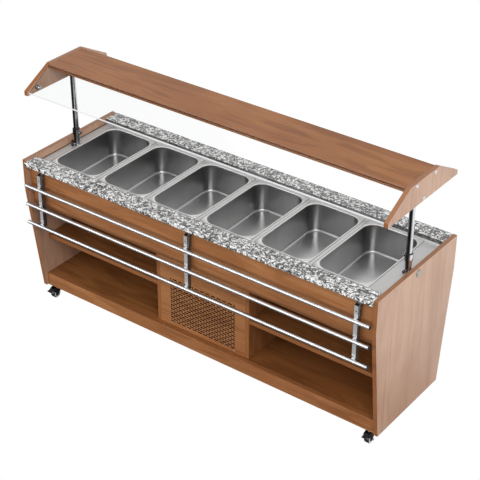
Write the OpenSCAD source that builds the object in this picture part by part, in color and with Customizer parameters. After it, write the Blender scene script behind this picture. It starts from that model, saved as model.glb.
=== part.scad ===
// Mobile salad bar: a board cabinet on castors, a chilled well with six pans between two granite
// strips, a glass canopy on two telescopic posts, and a folding tray slide along the front.
// Millimetres, +Z up. The origin is on the floor, under the middle of the whole plan outline.
// The customers' side is -Y. Sizes below are given in the cabinet's own frame, whose Y zero
// is the middle of the end panels.

/* [Cabinet] */
// Depth of the end panels at the worktop
cabinet_d = 700; // [690:5:740]
// Height of the end panels' top edges above the floor
cabinet_h = 885; // [875:5:920]
// Thickness of every board
board_t = 22; // [19:1:24]
// Height of the upright band at the top of an end panel
panel_band_h = 182; // [170:2:200]
// Draw-in of each end panel edge from the band down to the bottom
panel_taper = 76; // [60:2:90]
// Height of the plinth boards
plinth_h = 75; // [60:1:90]
// Plinth face behind the end panels' bottom edges
plinth_setback = 11; // [5:1:20]
// Shelf edges and ventilated panel behind the plinth face
front_setback = 32; // [20:1:40]
// Apron face behind the end panels' edges
apron_setback = 28; // [24:1:32]
// Height of the aprons from the granite down to their bottom edge
apron_h = 236; // [220:2:250]
// Width of the machine compartment over its two dividers
machine_w = 586; // [570:2:610]
// Height of the shelves' top faces above the floor
shelf_z = 387; // [340:1:430]

/* [Worktop] */
// Top of the steel deck below the end panels' top edges
deck_drop = 40; // [38:1:46]
// Top of the granite below the end panels' top edges
granite_drop = 7; // [4:1:10]
// Thickness of the granite strips
granite_t = 22; // [18:1:24]
// Width of the granite strips
granite_w = 92; // [88:1:92]
// Granite strips in front of the end panels' edges
granite_overhang = 12; // [8:1:14]
// Thickness of the deck's steel sheet
deck_sheet = 1.5; // [1:0.1:2]
// Deck between the left end panel and the first pan opening
deck_left_w = 59.5; // [59.5:0.5:80]
// Deck between the last pan opening and the right end panel
deck_right_w = 111.5; // [80:0.5:140]
// Deck between the front granite strip and the pan openings
deck_front_w = 51; // [45:1:55]
// Deck between the pan openings and the rear granite strip
deck_rear_w = 7; // [5:1:20]

/* [Pans] */
// Pan opening along the bar
pan_w = 295; // [270:1:300]
// Centre to centre of neighbouring pans
pan_pitch = 330; // [322:1:350]
// Inside depth of a pan
pan_depth = 150; // [100:5:152]
// Width of a pan's rim
pan_rim = 6; // [5:0.5:6]
// Corner radius of a pan at its opening
pan_corner_r = 66; // [40:1:80]
// Corner radius of the rim's outline
rim_corner_r = 9; // [7:0.5:11]
// Lean of a pan's walls from the rim to the floor
pan_draft = 12; // [4:1:16]
// Radius between a pan's walls and its floor
pan_fillet = 11; // [8:1:24]
// Thickness of a pan's steel
pan_sheet = 1; // [0.8:0.1:1.2]
// Width of the bars between the pans
bar_w = 29; // [26:1:30]

/* [Canopy] */
// Height over the canopy above the floor
overall_h = 1353; // [1330:1:1400]
// Height of a gable
gable_h = 119; // [112:1:130]
// Depth of a gable at its bottom edge
gable_d = 600; // [580:2:640]
// Depth of a gable along its top edge
gable_top_d = 248; // [240:2:270]
// Height of a gable's upright tips
gable_tip_h = 23; // [16:1:26]
// Gable faces inside the end panels' outer faces
canopy_inset = 6; // [4:1:8]
// Roof board's front edge ahead of the posts
roof_front = 138; // [132:1:144]
// Roof board's back edge behind the posts
roof_back = 118; // [112:1:120]
// Thickness of the sloped glass
glass_t = 6; // [5:1:6]
// Slope of the glass below the horizontal, in degrees
glass_tilt = 33; // [31:0.5:34]
// Distance that the glass reaches forward of its groove, measured level
glass_reach = 158; // [150:1:164]
// Diameter of the post tubes
post_d = 28; // [25:0.5:28]
// Outside diameter of the post sleeves
sleeve_d = 34; // [34:0.5:35]
// Outside diameter of the clamp collars
collar_d = 40; // [40:1:44]
// Height of the clamp collars
collar_h = 35; // [30:1:40]
// Height of the collars' top above the deck
sleeve_h = 95; // [90:1:110]
// Distance that the canopy can be raised
canopy_lift = 150; // [100:5:150]
// Post axis inside the end panels' inner faces
post_inset = 36; // [35.5:0.5:36]

/* [Tray slide] */
// Diameter of the rails
rail_d = 20; // [18:0.5:22]
// Centre to centre of the rails
rail_pitch = 110; // [100:1:112]
// Ends of the rails inside the end panels' outer faces
rail_inset = 23; // [10:1:40]
// Arms' top ends below the end panels' top edges
arm_drop = 60; // [50:1:70]
// Length of the arms
arm_l = 307; // [305:1:320]
// Width of the arms' tube
arm_w = 21; // [18:1:24]
// Depth of the arms' tube
arm_d = 25; // [24:1:27]
// Wall of the arms' and rails' tubes
tube_wall = 2; // [1.5:0.1:2.5]
// Outer arms inside the end panels' inner faces
arm_inset = 86; // [60:1:120]
// Hinge pin below the arms' top ends
pivot_drop = 13; // [12:0.5:14]

/* [Castors] */
// Height of a castor
castor_h = 75; // [74:1:90]
// Diameter of a wheel
wheel_d = 50; // [46:1:50]
// Width of a wheel
wheel_w = 27; // [22:1:30]
// Wheel axle ahead of the swivel axis
castor_trail = 22; // [18:1:24]
// Side of a castor's square plate
castor_plate_w = 58; // [52:1:62]
// Swivel axis inside the end panels' outer faces
castor_inset_x = 59; // [56:1:70]
// Swivel axis inside the end panels' bottom edges
castor_inset_y = 46; // [42:1:60]

/* [Hidden] */
$fn = 64;
pan_count = 6;

// Finishes
teak = [0.60, 0.38, 0.22];
teak_dark = [0.42, 0.26, 0.15];
granite_grey = [0.62, 0.63, 0.65];
steel = [0.76, 0.77, 0.78];
chrome = [0.85, 0.86, 0.88];
black = [0.08, 0.08, 0.09];
copper = [0.72, 0.42, 0.25];
grey_paint = [0.45, 0.46, 0.48];
glass_tint = [0.80, 0.90, 0.92, 0.4];
foam_yellow = [0.90, 0.84, 0.60];

// Clearances shared by several pieces
running_fit = 0.05;
gap = 0.5;
overrun = 5;

// Places worked out from the driving sizes, in the cabinet's frame
half_well = ((pan_count - 1) * pan_pitch + pan_w) / 2;
half_in = half_well + (deck_left_w + deck_right_w) / 2;
half_l = half_in + board_t;
half_d = cabinet_d / 2;
base_z = castor_h;
kink_z = cabinet_h - panel_band_h;
taper_slope = panel_taper / (kink_z - base_z);
function edge_y(z) = half_d - max(0, kink_z - z) * taper_slope;
bottom_half_d = edge_y(base_z);
deck_z = cabinet_h - deck_drop;
granite_z = cabinet_h - granite_drop;
granite_low = granite_z - granite_t;
granite_reach = half_d + granite_overhang;
granite_in = granite_reach - granite_w;
apron_y = half_d - apron_setback;
apron_low = granite_low - apron_h;
plinth_y = bottom_half_d - plinth_setback;
inner_y = plinth_y - front_setback;
floor_top = base_z + plinth_h;
machine_in = machine_w / 2 - board_t;

// Tray slide places
arm_gap = 5;
rail_standoff = 4;
arm_back_y = -apron_y - arm_gap;
arm_front_y = arm_back_y - arm_d;
rail_y = arm_front_y - rail_standoff - rail_d / 2;
arm_top_z = cabinet_h - arm_drop;
arm_low_z = arm_top_z - arm_l;
rail_low_z = arm_low_z + rail_d / 2;
rail_zs = [for (i = [0:2]) rail_low_z + i * rail_pitch];
pivot_y = arm_back_y - arm_d / 2;
pivot_z = arm_top_z - pivot_drop;
arm_xs = [-half_in + arm_inset, 0, half_in - arm_inset];

// The plan outline reaches from the rails to the rear granite; the origin is midway
front_reach = rail_d / 2 - rail_y;
mid_y = (front_reach - granite_reach) / 2;

// Pan places
pan_x0 = -half_in + deck_left_w;
pan_y0 = -granite_in + deck_front_w;
pan_y1 = granite_in - deck_rear_w;
pan_l = pan_y1 - pan_y0;
pan_mid_y = (pan_y0 + pan_y1) / 2;
function pan_x(i) = pan_x0 + pan_w / 2 + (i - 1) * pan_pitch;
pan_x1 = pan_x(pan_count) + pan_w / 2;
deck_lap = 2.5;
bar_h = 14;
bar_tab = 4;

// Well tank and casing
tank_gap_x = 3.5;
tank_gap_y = 8;
tank_floor_gap = 16;
tank_sheet = 1.2;
tank_x0 = pan_x0 - tank_gap_x;
tank_x1 = pan_x1 + tank_gap_x;
tank_y0 = pan_y0 - tank_gap_y;
tank_y1 = pan_y1 + tank_gap_y;
tank_top = deck_z - deck_sheet;
tank_floor = deck_z - pan_depth - pan_sheet - tank_floor_gap;
casing_t = 38;
casing_low = tank_floor - tank_sheet - casing_t;
casing_setback = 4;
casing_sheet = 1;
casing_y = granite_in + board_t - casing_setback / 2;

// Posts
post_x = half_in - post_inset;
sleeve_top = deck_z + sleeve_h;
sleeve_low = casing_low + overrun;
tube_hold = 130;
tube_low = sleeve_top - canopy_lift - tube_hold;
clamp_z = sleeve_top - collar_h / 2;
cap_h = 8;
post_cap_d = 40;
bolt_d = 10;
spacer_d = 16;
post_bolt_z = deck_z + spacer_d / 2 + gap;

// Canopy
gable_out = half_l - canopy_inset;
gable_in = gable_out - board_t;
gable_z = overall_h - gable_h;
gable_tip_z = gable_z + gable_tip_h;
roof_z = overall_h - board_t;
tube_top = gable_z + post_d;
gable_bolt_z = gable_z + 3 * cap_h / 2;
gable_cap_d = 20;
gable_bolt_d = 8;
groove_cover = 2.5;
groove_bite = 4;
groove_clear = 0.4;
glass_up = [-roof_front + groove_bite, overall_h - groove_cover - groove_clear];
glass_run = [-cos(glass_tilt), -sin(glass_tilt)];
glass_under = [sin(glass_tilt), -cos(glass_tilt)];
glass_len = glass_reach / cos(glass_tilt);
stud_share = 0.70;
stud_d = 20;
stud_ring = 2;
stud_l = 30;
stud_at = glass_up + stud_share * glass_len * glass_run
    + (glass_t + stud_d / 2 + stud_ring + groove_clear) * glass_under;
roof_screw_shares = [0.27, 0.895];
roof_screw_drop = 6;

// Castors
castor_x = half_l - castor_inset_x;
castor_y = bottom_half_d - castor_inset_y;
plate_t = 3;
kingpin_d = 12;
head_d = 46;
head_h = 9;
head_gap = 0.4;
head_top = castor_h - plate_t - head_gap;
head_low = head_top - head_h;
rivet_h = 2.5;
cheek_t = 3;
cheek_gap = 1;
axle_d = 8;
axle_boss_d = 18;
wheel_r = wheel_d / 2;
cheek_in = wheel_w / 2 + cheek_gap;
cheek_out = cheek_in + cheek_t;
hood_gap = 3;
hood_t = 2.5;
pedal_ahead = 21;
pedal_drop = 5;
pedal_y = -castor_trail - pedal_ahead;
pedal_z = head_low - pedal_drop;
pedal_pin_d = 4;
pedal_t = 4;
pedal_l = 30;
pedal_w = 24;
rim_share = 0.76;
tread_round_share = 0.16;

// Draws its children, given in the cabinet's frame, in the row's frame
module cabinet() {
    translate([0, mid_y, 0]) children();
}

// A box between two opposite corners
module block(low, high) {
    translate(low) cube(high - low);
}

// Extrudes a Y-Z outline along X
module along_x(x0, x1) {
    translate([x0, 0, 0]) rotate([90, 0, 90]) linear_extrude(height = x1 - x0) children();
}

// Extrudes an X-Z outline along Y
module along_y(y0, y1) {
    translate([0, y1, 0]) rotate([90, 0, 0]) linear_extrude(height = y1 - y0) children();
}

// A round bar along X
module rod_x(x0, x1, d) {
    translate([min(x0, x1), 0, 0]) rotate([0, 90, 0]) cylinder(h = abs(x1 - x0), d = d);
}

// A round bar along Y
module rod_y(y0, y1, d) {
    translate([0, max(y0, y1), 0]) rotate([90, 0, 0]) cylinder(h = abs(y1 - y0), d = d);
}

// A rectangle with round corners, centred
module rounded(w, d, r) {
    square([w, d - 2 * r], center = true);
    square([w - 2 * r, d], center = true);
    for (sx = [-1, 1], sy = [-1, 1])
        translate([sx * (w / 2 - r), sy * (d / 2 - r)]) circle(r = r);
}

// Draws its children at both ends of the cabinet
module both_ends() {
    children();
    mirror([1, 0, 0]) children();
}

// A domed cap whose flat face lies at the origin, facing +X
module dome_cap_x(d, h) {
    rim = h / 3;
    ball = (d * d / 4 + (h - rim) * (h - rim)) / (2 * (h - rim));
    rotate([0, 90, 0]) {
        cylinder(h = rim, d = d);
        intersection() {
            translate([0, 0, h - ball]) sphere(r = ball);
            translate([0, 0, rim]) cylinder(h = h, d = d);
        }
    }
}

// Cabinet boards

module end_panel() {
    difference() {
        along_x(half_in, half_l) polygon([
            [-half_d, cabinet_h],
            [-half_d, kink_z],
            [-bottom_half_d, base_z],
            [bottom_half_d, base_z],
            [half_d, kink_z],
            [half_d, cabinet_h]
        ]);
        translate([0, 0, post_bolt_z]) rod_x(half_in - overrun, half_l + overrun, bolt_d);
    }
}

module end_panel_left() {
    color(teak) cabinet() mirror([1, 0, 0]) end_panel();
}

module end_panel_right() {
    color(teak) cabinet() end_panel();
}

// Upright above the kink, then parallel to the end panels' edges
module apron() {
    low_y = apron_y - (kink_z - apron_low) * taper_slope;
    along_x(-half_in, half_in) polygon([
        [-apron_y, granite_low],
        [-apron_y, kink_z],
        [-low_y, apron_low],
        [-low_y + board_t, apron_low],
        [-apron_y + board_t, kink_z],
        [-apron_y + board_t, granite_low]
    ]);
}

module front_apron() {
    color(teak) cabinet() apron();
}

control_x = 150;
control_z = kink_z + panel_band_h / 3;
control_w = 190;
control_h = 70;
control_t = 3;
control_depth = 20;
control_lip = 8;

module rear_apron() {
    color(teak) cabinet() difference() {
        mirror([0, 1, 0]) apron();
        control_opening(0);
    }
}

module control_opening(shrink) {
    half_w = control_w / 2 - control_lip - shrink;
    half_h = control_h / 2 - control_lip - shrink;
    block([control_x - half_w, apron_y - board_t - overrun, control_z - half_h],
        [control_x + half_w, apron_y + overrun, control_z + half_h]);
}

module floor_board() {
    color(teak_dark) cabinet()
        block([-half_in, -plinth_y + board_t, floor_top - board_t],
            [half_in, plinth_y - board_t, floor_top]);
}

// Plinths front and rear, and a bearer over each pair of castors and under each divider
module base_frame() {
    bearer_w = castor_plate_w + 2 * overrun;
    bearer_xs = [-castor_x, -machine_in, machine_in, castor_x];
    color(teak) cabinet() {
        for (side = [0, 1])
            mirror([0, side, 0])
                block([-half_in, -plinth_y, base_z], [half_in, -plinth_y + board_t, floor_top]);
        for (x = bearer_xs)
            block([x - bearer_w / 2, -plinth_y + board_t, base_z],
                [x + bearer_w / 2, plinth_y - board_t, floor_top - board_t]);
    }
}

module shelf() {
    block([machine_w / 2, -inner_y, shelf_z - board_t], [half_in, inner_y - board_t, shelf_z]);
}

module shelf_left() {
    color(teak_dark) cabinet() mirror([1, 0, 0]) shelf();
}

module shelf_right() {
    color(teak_dark) cabinet() shelf();
}

module dividers() {
    color(teak_dark) cabinet() both_ends()
        block([machine_in, -inner_y, floor_top], [machine_w / 2, inner_y, casing_low]);
}

module rear_boards() {
    color(teak_dark) cabinet() both_ends()
        block([machine_w / 2, inner_y - board_t, floor_top], [half_in, inner_y, casing_low]);
}

// Ventilated panels of the machine compartment

grille_t = 10;
slot_l = 24;
slot_h = 5;
slot_pitch = 35;
slot_cols = 12;
slot_rows = 22;
row_pitch = 12.3;
grille_low = floor_top + slot_l;

// Rows of level slots; every other row is shifted by half a pitch and closed by half slots
module slot_rows_outline() {
    half_w = ((slot_cols - 1) * slot_pitch + slot_l) / 2;
    for (row = [0:slot_rows - 1]) {
        z = grille_low + row * row_pitch;
        if (row % 2 == 0)
            for (i = [0:slot_cols - 1])
                translate([-half_w + i * slot_pitch, z]) square([slot_l, slot_h]);
        else {
            for (i = [0:slot_cols - 2])
                translate([-half_w + (i + 1 / 2) * slot_pitch, z]) square([slot_l, slot_h]);
            translate([-half_w, z]) square([slot_l / 2 - slot_h, slot_h]);
            translate([half_w - slot_l / 2 + slot_h, z]) square([slot_l / 2 - slot_h, slot_h]);
        }
    }
}

module grille_panel() {
    along_y(-inner_y, -inner_y + grille_t) difference() {
        translate([-machine_in, floor_top]) square([2 * machine_in, casing_low - floor_top]);
        slot_rows_outline();
    }
}

module front_grille() {
    color(teak) cabinet() grille_panel();
}

inlet_w = 28;
inlet_h = 48;
inlet_x = machine_in - inlet_w;
inlet_z = floor_top + inlet_h;

module inlet_body(grow) {
    translate([inlet_x, 0, inlet_z])
        block([-inlet_w / 2 - grow, inner_y - 2 * grille_t, -inlet_h / 2 - grow],
            [inlet_w / 2 + grow, inner_y + overrun, inlet_h / 2 + grow]);
}

module rear_grille() {
    color(teak) cabinet() difference() {
        mirror([0, 1, 0]) grille_panel();
        inlet_body(0);
    }
}

// Chilled well

module well_tank() {
    low = [tank_x0, tank_y0, tank_floor];
    high = [tank_x1, tank_y1, tank_top];
    skin = [tank_sheet, tank_sheet, tank_sheet];
    color(steel) cabinet() difference() {
        block(low - skin, [high.x + tank_sheet, high.y + tank_sheet, tank_top]);
        block(low, high + [0, 0, overrun]);
        drain_bore(drain_d);
    }
}

drain_d = 32;
drain_x = -machine_in / 2;
drain_y = pan_mid_y;
drain_wall = 2;
drain_l = 60;
drain_flange_d = 54;

module drain_bore(d) {
    translate([drain_x, drain_y, casing_low - overrun])
        cylinder(h = tank_floor - casing_low + 2 * overrun, d = d);
}

// The casing's outer block, drawn in by skin at its sides and bottom
module casing_block(skin, top) {
    reach_x = half_in - casing_setback - skin;
    reach_y = casing_y - skin;
    block([-reach_x, -reach_y, casing_low + skin], [reach_x, reach_y, top]);
}

// Holes for the drain, the post sleeves and the post tubes below them
module casing_bores() {
    drain_bore(drain_d + 2 * running_fit);
    both_ends() translate([post_x, 0, sleeve_low]) {
        cylinder(h = deck_z - sleeve_low, d = sleeve_d);
        translate([0, 0, -sleeve_d]) cylinder(h = sleeve_d + overrun, d = post_d + drain_wall);
    }
}

// Sheet casing that holds the insulation, open at the top
module tank_casing() {
    color(grey_paint) cabinet() difference() {
        casing_block(0, tank_top - casing_setback);
        casing_block(casing_sheet, tank_top + overrun);
        casing_bores();
    }
}

// Foam between the casing and the tank
module insulation() {
    wall = [tank_sheet, tank_sheet, tank_sheet];
    color(foam_yellow) cabinet() difference() {
        casing_block(casing_sheet, tank_top - casing_setback);
        block([tank_x0, tank_y0, tank_floor] - wall,
            [tank_x1 + tank_sheet, tank_y1 + tank_sheet, tank_top + overrun]);
        casing_bores();
    }
}

// Drain spigot with its flange, and the stopper in its mouth
module drain() {
    spigot_low = casing_low - drain_l;
    color(chrome) cabinet() translate([drain_x, drain_y, 0]) {
        difference() {
            union() {
                translate([0, 0, spigot_low])
                    cylinder(h = tank_floor - spigot_low, d = drain_d);
                translate([0, 0, casing_low - drain_wall - gap])
                    cylinder(h = drain_wall, d = drain_flange_d);
            }
            translate([0, 0, spigot_low - overrun])
                cylinder(h = tank_floor - spigot_low + 2 * overrun, d = drain_d - 2 * drain_wall);
        }
        translate([0, 0, tank_floor]) cylinder(h = drain_wall, d = drain_d + 2 * drain_wall);
        translate([0, 0, tank_floor - tank_floor_gap / 2])
            cylinder(h = tank_floor_gap / 2, d = drain_d - 2 * drain_wall - gap);
    }
}

// Steel deck: a tray between the granite strips, open over the well, with upstands that carry
// the granite's inner edges
module deck() {
    flange = board_t + overrun;
    color(steel) cabinet() difference() {
        union() {
            block([-half_in, -granite_in - deck_sheet, tank_top],
                [half_in, granite_in + deck_sheet, deck_z]);
            for (side = [0, 1])
                mirror([0, side, 0]) {
                    block([-half_in, -granite_in - deck_sheet, tank_top],
                        [half_in, -granite_in, granite_low]);
                    block([-half_in, -granite_in - flange, granite_low - deck_sheet],
                        [half_in, -granite_in, granite_low]);
                }
        }
        block([pan_x0 - deck_lap, pan_y0 - deck_lap, tank_top - overrun],
            [pan_x1 + deck_lap, pan_y1 + deck_lap, deck_z + overrun]);
        both_ends() translate([post_x, 0, tank_top - overrun])
            cylinder(h = deck_sheet + 2 * overrun, d = sleeve_d);
    }
}

// Channel-shaped bars between the pans, with a tab under the deck at each end
module pan_bars() {
    y0 = pan_y0 - deck_lap;
    y1 = pan_y1 + deck_lap;
    color(chrome) cabinet()
        for (i = [1:pan_count - 1])
            translate([pan_x(i) + pan_pitch / 2, 0, 0]) {
                difference() {
                    block([-bar_w / 2, y0, deck_z - bar_h], [bar_w / 2, y1, deck_z]);
                    block([-bar_w / 2 + deck_sheet, y0 - overrun, deck_z - bar_h - overrun],
                        [bar_w / 2 - deck_sheet, y1 + overrun, tank_top]);
                }
                for (y = [y0 - bar_tab, y1 - bar_tab])
                    block([-bar_w / 2 + deck_sheet, y, tank_top - deck_sheet],
                        [bar_w / 2 - deck_sheet, y + 2 * bar_tab, tank_top]);
            }
}

granite_arris = 2;

module granite_strip() {
    a = granite_arris;
    along_x(-half_in, half_in) polygon([
        [-granite_reach + a, granite_low],
        [-granite_in, granite_low],
        [-granite_in, granite_z - a],
        [-granite_in - a, granite_z],
        [-granite_reach + a, granite_z],
        [-granite_reach, granite_z - a],
        [-granite_reach, granite_low + a]
    ]);
}

module granite_front() {
    color(granite_grey) cabinet() granite_strip();
}

module granite_rear() {
    color(granite_grey) cabinet() mirror([0, 1, 0]) granite_strip();
}

// Pans

corner_steps = 6;
fillet_steps = 4;

// A ring of points round a pan, drawn in from its opening by inset, at height z
function pan_ring(inset, z, corner_r) = [
    for (c = [0:3], i = [0:corner_steps])
        let (
            turn = 90 * (c + i / corner_steps),
            r = corner_r - inset,
            sx = (c == 0 || c == 3) ? 1 : -1,
            sy = c < 2 ? 1 : -1
        )
        [sx * (pan_w / 2 - corner_r) + r * cos(turn),
            sy * (pan_l / 2 - corner_r) + r * sin(turn), z]
];

// Rings down a pan's wall and round the fillet into its floor; grow is the sheet on the outside
function pan_wall_rings(grow, floor_z) = [
    for (i = [0:fillet_steps])
        let (a = 90 * i / fillet_steps, r = pan_fillet + grow)
        pan_ring(pan_draft + pan_fillet - r * cos(a), floor_z - grow + r - r * sin(a), pan_corner_r)
];

function reversed(list) = [for (i = [len(list) - 1:-1:0]) list[i]];

// One closed skin: up the inside, over the rim and down the outside
module pan(i) {
    floor_z = deck_z + pan_sheet - pan_depth;
    rim_z = deck_z + pan_sheet;
    outline_r = rim_corner_r - pan_rim;
    rings = concat(
        reversed(pan_wall_rings(0, floor_z)),
        [pan_ring(0, rim_z, pan_corner_r), pan_ring(-pan_rim, rim_z, outline_r),
            pan_ring(-pan_rim, deck_z, outline_r), pan_ring(-pan_sheet, deck_z, pan_corner_r)],
        pan_wall_rings(pan_sheet, floor_z)
    );
    n = 4 * (corner_steps + 1);
    points = [for (ring = rings) each ring];
    bands = [
        for (k = [0:len(rings) - 2], j = [0:n - 1])
            let (a = k * n + j, b = k * n + (j + 1) % n)
            [a, b, b + n, a + n]
    ];
    floor_cap = [for (j = [n - 1:-1:0]) j];
    under_cap = [for (j = [0:n - 1]) (len(rings) - 1) * n + j];
    color(steel) cabinet() translate([pan_x(i), pan_mid_y, 0])
        polyhedron(points = points, faces = concat(bands, [floor_cap, under_cap]));
}

// Posts and their fixings

// Sleeves from the casing up through the deck, ending in a clamp collar
module post_sleeves() {
    screw_d = 12;
    screw_l = 14;
    screw_z = deck_z + screw_d;
    color(chrome) cabinet() both_ends() translate([post_x, 0, 0]) {
        difference() {
            union() {
                translate([0, 0, sleeve_low])
                    cylinder(h = sleeve_top - sleeve_low, d = sleeve_d);
                translate([0, 0, sleeve_top - collar_h]) cylinder(h = collar_h, d = collar_d);
            }
            translate([0, 0, sleeve_low - overrun])
                cylinder(h = sleeve_top - sleeve_low + 2 * overrun, d = post_d + 2 * running_fit);
            translate([0, 0, clamp_z])
                rod_x(-collar_d, 0, clamp_screw_d + 2 * running_fit);
        }
        translate([0, -sleeve_d / 2 - screw_l, screw_z]) difference() {
            rod_y(0, screw_l + sleeve_d / 4, screw_d);
            translate([0, screw_l + sleeve_d / 2, -screw_d])
                cylinder(h = 2 * screw_d, d = sleeve_d);
        }
    }
}

// Bolts through the end panels into the sleeves, each with a spacer inside and a cap outside
module post_bolts() {
    color(chrome) cabinet() both_ends() translate([0, 0, post_bolt_z]) {
        difference() {
            rod_x(post_x, half_in, spacer_d);
            translate([post_x, 0, -spacer_d]) cylinder(h = 2 * spacer_d, d = sleeve_d);
        }
        rod_x(half_in, half_l, bolt_d);
        translate([half_l, 0, 0]) dome_cap_x(post_cap_d, cap_h);
    }
}

clamp_screw_d = 6;
clamp_knob_d = 18;
clamp_knob_l = 13;

// A knurled knob on a clamp screw, pointing in from the right-hand post
module clamp_knob() {
    grips = 12;
    grip_d = clamp_knob_d / 10;
    knob_x = -collar_d / 2 - gap;
    color(chrome) cabinet() translate([post_x, 0, clamp_z]) {
        rod_x(-post_d / 2 - 3 * running_fit, knob_x, clamp_screw_d);
        translate([knob_x, 0, 0]) rotate([0, -90, 0]) difference() {
            cylinder(h = clamp_knob_l, d = clamp_knob_d);
            for (i = [0:grips - 1])
                rotate([0, 0, i * 360 / grips]) translate([clamp_knob_d / 2, 0, -overrun])
                    cylinder(h = clamp_knob_l + 2 * overrun, d = grip_d, $fn = 24);
        }
    }
}

module clamp_knob_left() {
    mirror([1, 0, 0]) clamp_knob();
}

module clamp_knob_right() {
    clamp_knob();
}

// Canopy

module gable() {
    color(teak) cabinet() difference() {
        along_x(gable_in, gable_out) polygon([
            [-gable_d / 2, gable_z],
            [gable_d / 2, gable_z],
            [gable_d / 2, gable_tip_z],
            [gable_top_d / 2, overall_h],
            [-gable_top_d / 2, overall_h],
            [-gable_d / 2, gable_tip_z]
        ]);
        gable_bolts(0);
    }
}

// Places of the roof board's screws, as Y and Z
roof_screws = [
    for (share = roof_screw_shares)
        [-roof_front + share * (roof_front + roof_back), roof_z + board_t / 2 - roof_screw_drop]
];

module gable_bolts(extra) {
    translate([0, 0, gable_bolt_z]) rod_x(gable_in - extra, gable_out + extra, gable_bolt_d);
    for (at = roof_screws)
        translate([0, at.x, at.y]) rod_x(gable_in - extra, gable_out + extra, gable_bolt_d);
}

module gable_left() {
    mirror([1, 0, 0]) gable();
}

module gable_right() {
    gable();
}

// Glass outline on the Y-Z plane, grown by clear on each face
function glass_outline(clear) =
    let (
        top = glass_up - clear * glass_under - clear * glass_run,
        low = glass_up + glass_len * glass_run - clear * glass_under,
        through = (glass_t + 2 * clear) * glass_under
    )
    [top, low, low + through, top + through];

// Roof board with the groove that holds the upper edge of the glass
module roof_board() {
    inner = glass_up + (glass_t + groove_clear) * glass_under - groove_clear * glass_run;
    color(teak) cabinet() difference() {
        block([-gable_in, -roof_front, roof_z], [gable_in, roof_back, overall_h]);
        along_x(-gable_in - overrun, gable_in + overrun) polygon([
            [-roof_front - overrun, overall_h - groove_cover],
            [inner.x, overall_h - groove_cover],
            inner,
            inner + (roof_front + inner.x + overrun) / cos(glass_tilt) * glass_run
        ]);
    }
}

module canopy_glass() {
    color(glass_tint) cabinet()
        along_x(-gable_in + gap, gable_in - gap) polygon(glass_outline(0));
}

module post_tubes() {
    color(chrome) cabinet() both_ends() translate([post_x, 0, tube_low]) difference() {
        cylinder(h = tube_top - tube_low, d = post_d);
        translate([0, 0, -overrun])
            cylinder(h = tube_top - tube_low + 2 * overrun, d = post_d - 2 * tube_wall);
    }
}

// Caps, bolts, spacers, tube end caps and the studs under the glass with their rubber rings
module canopy_fittings() {
    color(chrome) cabinet() both_ends() {
        translate([0, 0, gable_bolt_z]) difference() {
            rod_x(post_x, gable_in, spacer_d);
            translate([post_x, 0, -spacer_d]) cylinder(h = 2 * spacer_d, d = post_d);
        }
        gable_bolts(0);
        translate([gable_out, 0, gable_bolt_z]) dome_cap_x(gable_cap_d, cap_h / 2);
        for (at = roof_screws)
            translate([gable_out, at.x, at.y]) dome_cap_x(gable_cap_d, cap_h / 2);
        translate([post_x, 0, tube_top]) cylinder(h = tube_wall, d = post_d);
        translate([0, stud_at.x, stud_at.y]) {
            rod_x(gable_in - stud_l, gable_in, stud_d);
            translate([gable_in - 3 * stud_l / 4, 0, 0]) rotate([0, 90, 0]) difference() {
                cylinder(h = stud_l / 2, d = stud_d + 2 * stud_ring);
                translate([0, 0, -overrun]) cylinder(h = stud_l, d = stud_d);
            }
        }
    }
}

// Tray slide

plug_t = 2;
plug_depth = 10;
heel_chamfer = 8;
bracket_sheet = 2;
cheek_sheet = 2.5;
bracket_low_z = rail_zs[2] + rail_d / 2;
bracket_top_z = arm_top_z + plug_t;
bracket_d = arm_gap + 3 * arm_d / 4;
bracket_in = arm_w / 2 + gap;
pin_d = 8;
pin_head = 1.5;
lock_hole_d = 7.5;
lock_hole_drop = 32;
saddle_w = 14;
saddle_h = 16;
buffer_d = 12;
buffer_z = kink_z + buffer_d;

// Side outline of an arm, with the heel cut away behind the pin
module arm_outline(low_z, top_z) {
    polygon([
        [arm_front_y, low_z],
        [arm_back_y, low_z],
        [arm_back_y, arm_top_z - heel_chamfer],
        [arm_back_y - heel_chamfer + arm_top_z - top_z, top_z],
        [arm_front_y, top_z]
    ]);
}

module tray_arms() {
    color(steel) cabinet() for (x = arm_xs) translate([x, 0, 0]) {
        difference() {
            along_x(-arm_w / 2, arm_w / 2)
                arm_outline(arm_low_z + plug_t, arm_top_z - plug_t);
            block([-arm_w / 2 + tube_wall, arm_front_y + tube_wall, arm_low_z - overrun],
                [arm_w / 2 - tube_wall, arm_back_y - tube_wall, arm_top_z + overrun]);
            translate([0, pivot_y, pivot_z]) rod_x(-arm_w, arm_w, pin_d + 2 * running_fit);
            translate([0, 0, arm_top_z - lock_hole_drop])
                rod_y(arm_front_y - overrun, arm_front_y + 2 * overrun, lock_hole_d);
        }
        for (z = rail_zs)
            translate([0, 0, z]) difference() {
                block([-saddle_w / 2, rail_y, -saddle_h / 2], [saddle_w / 2, arm_front_y, saddle_h / 2]);
                translate([0, rail_y, 0]) rod_x(-saddle_w, saddle_w, rail_d);
            }
    }
}

module tray_rails() {
    reach = half_l - rail_inset - plug_t;
    color(chrome) cabinet() for (z = rail_zs) translate([0, rail_y, z]) difference() {
        rod_x(-reach, reach, rail_d);
        rod_x(-reach - overrun, reach + overrun, rail_d - 2 * tube_wall);
    }
}

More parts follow.
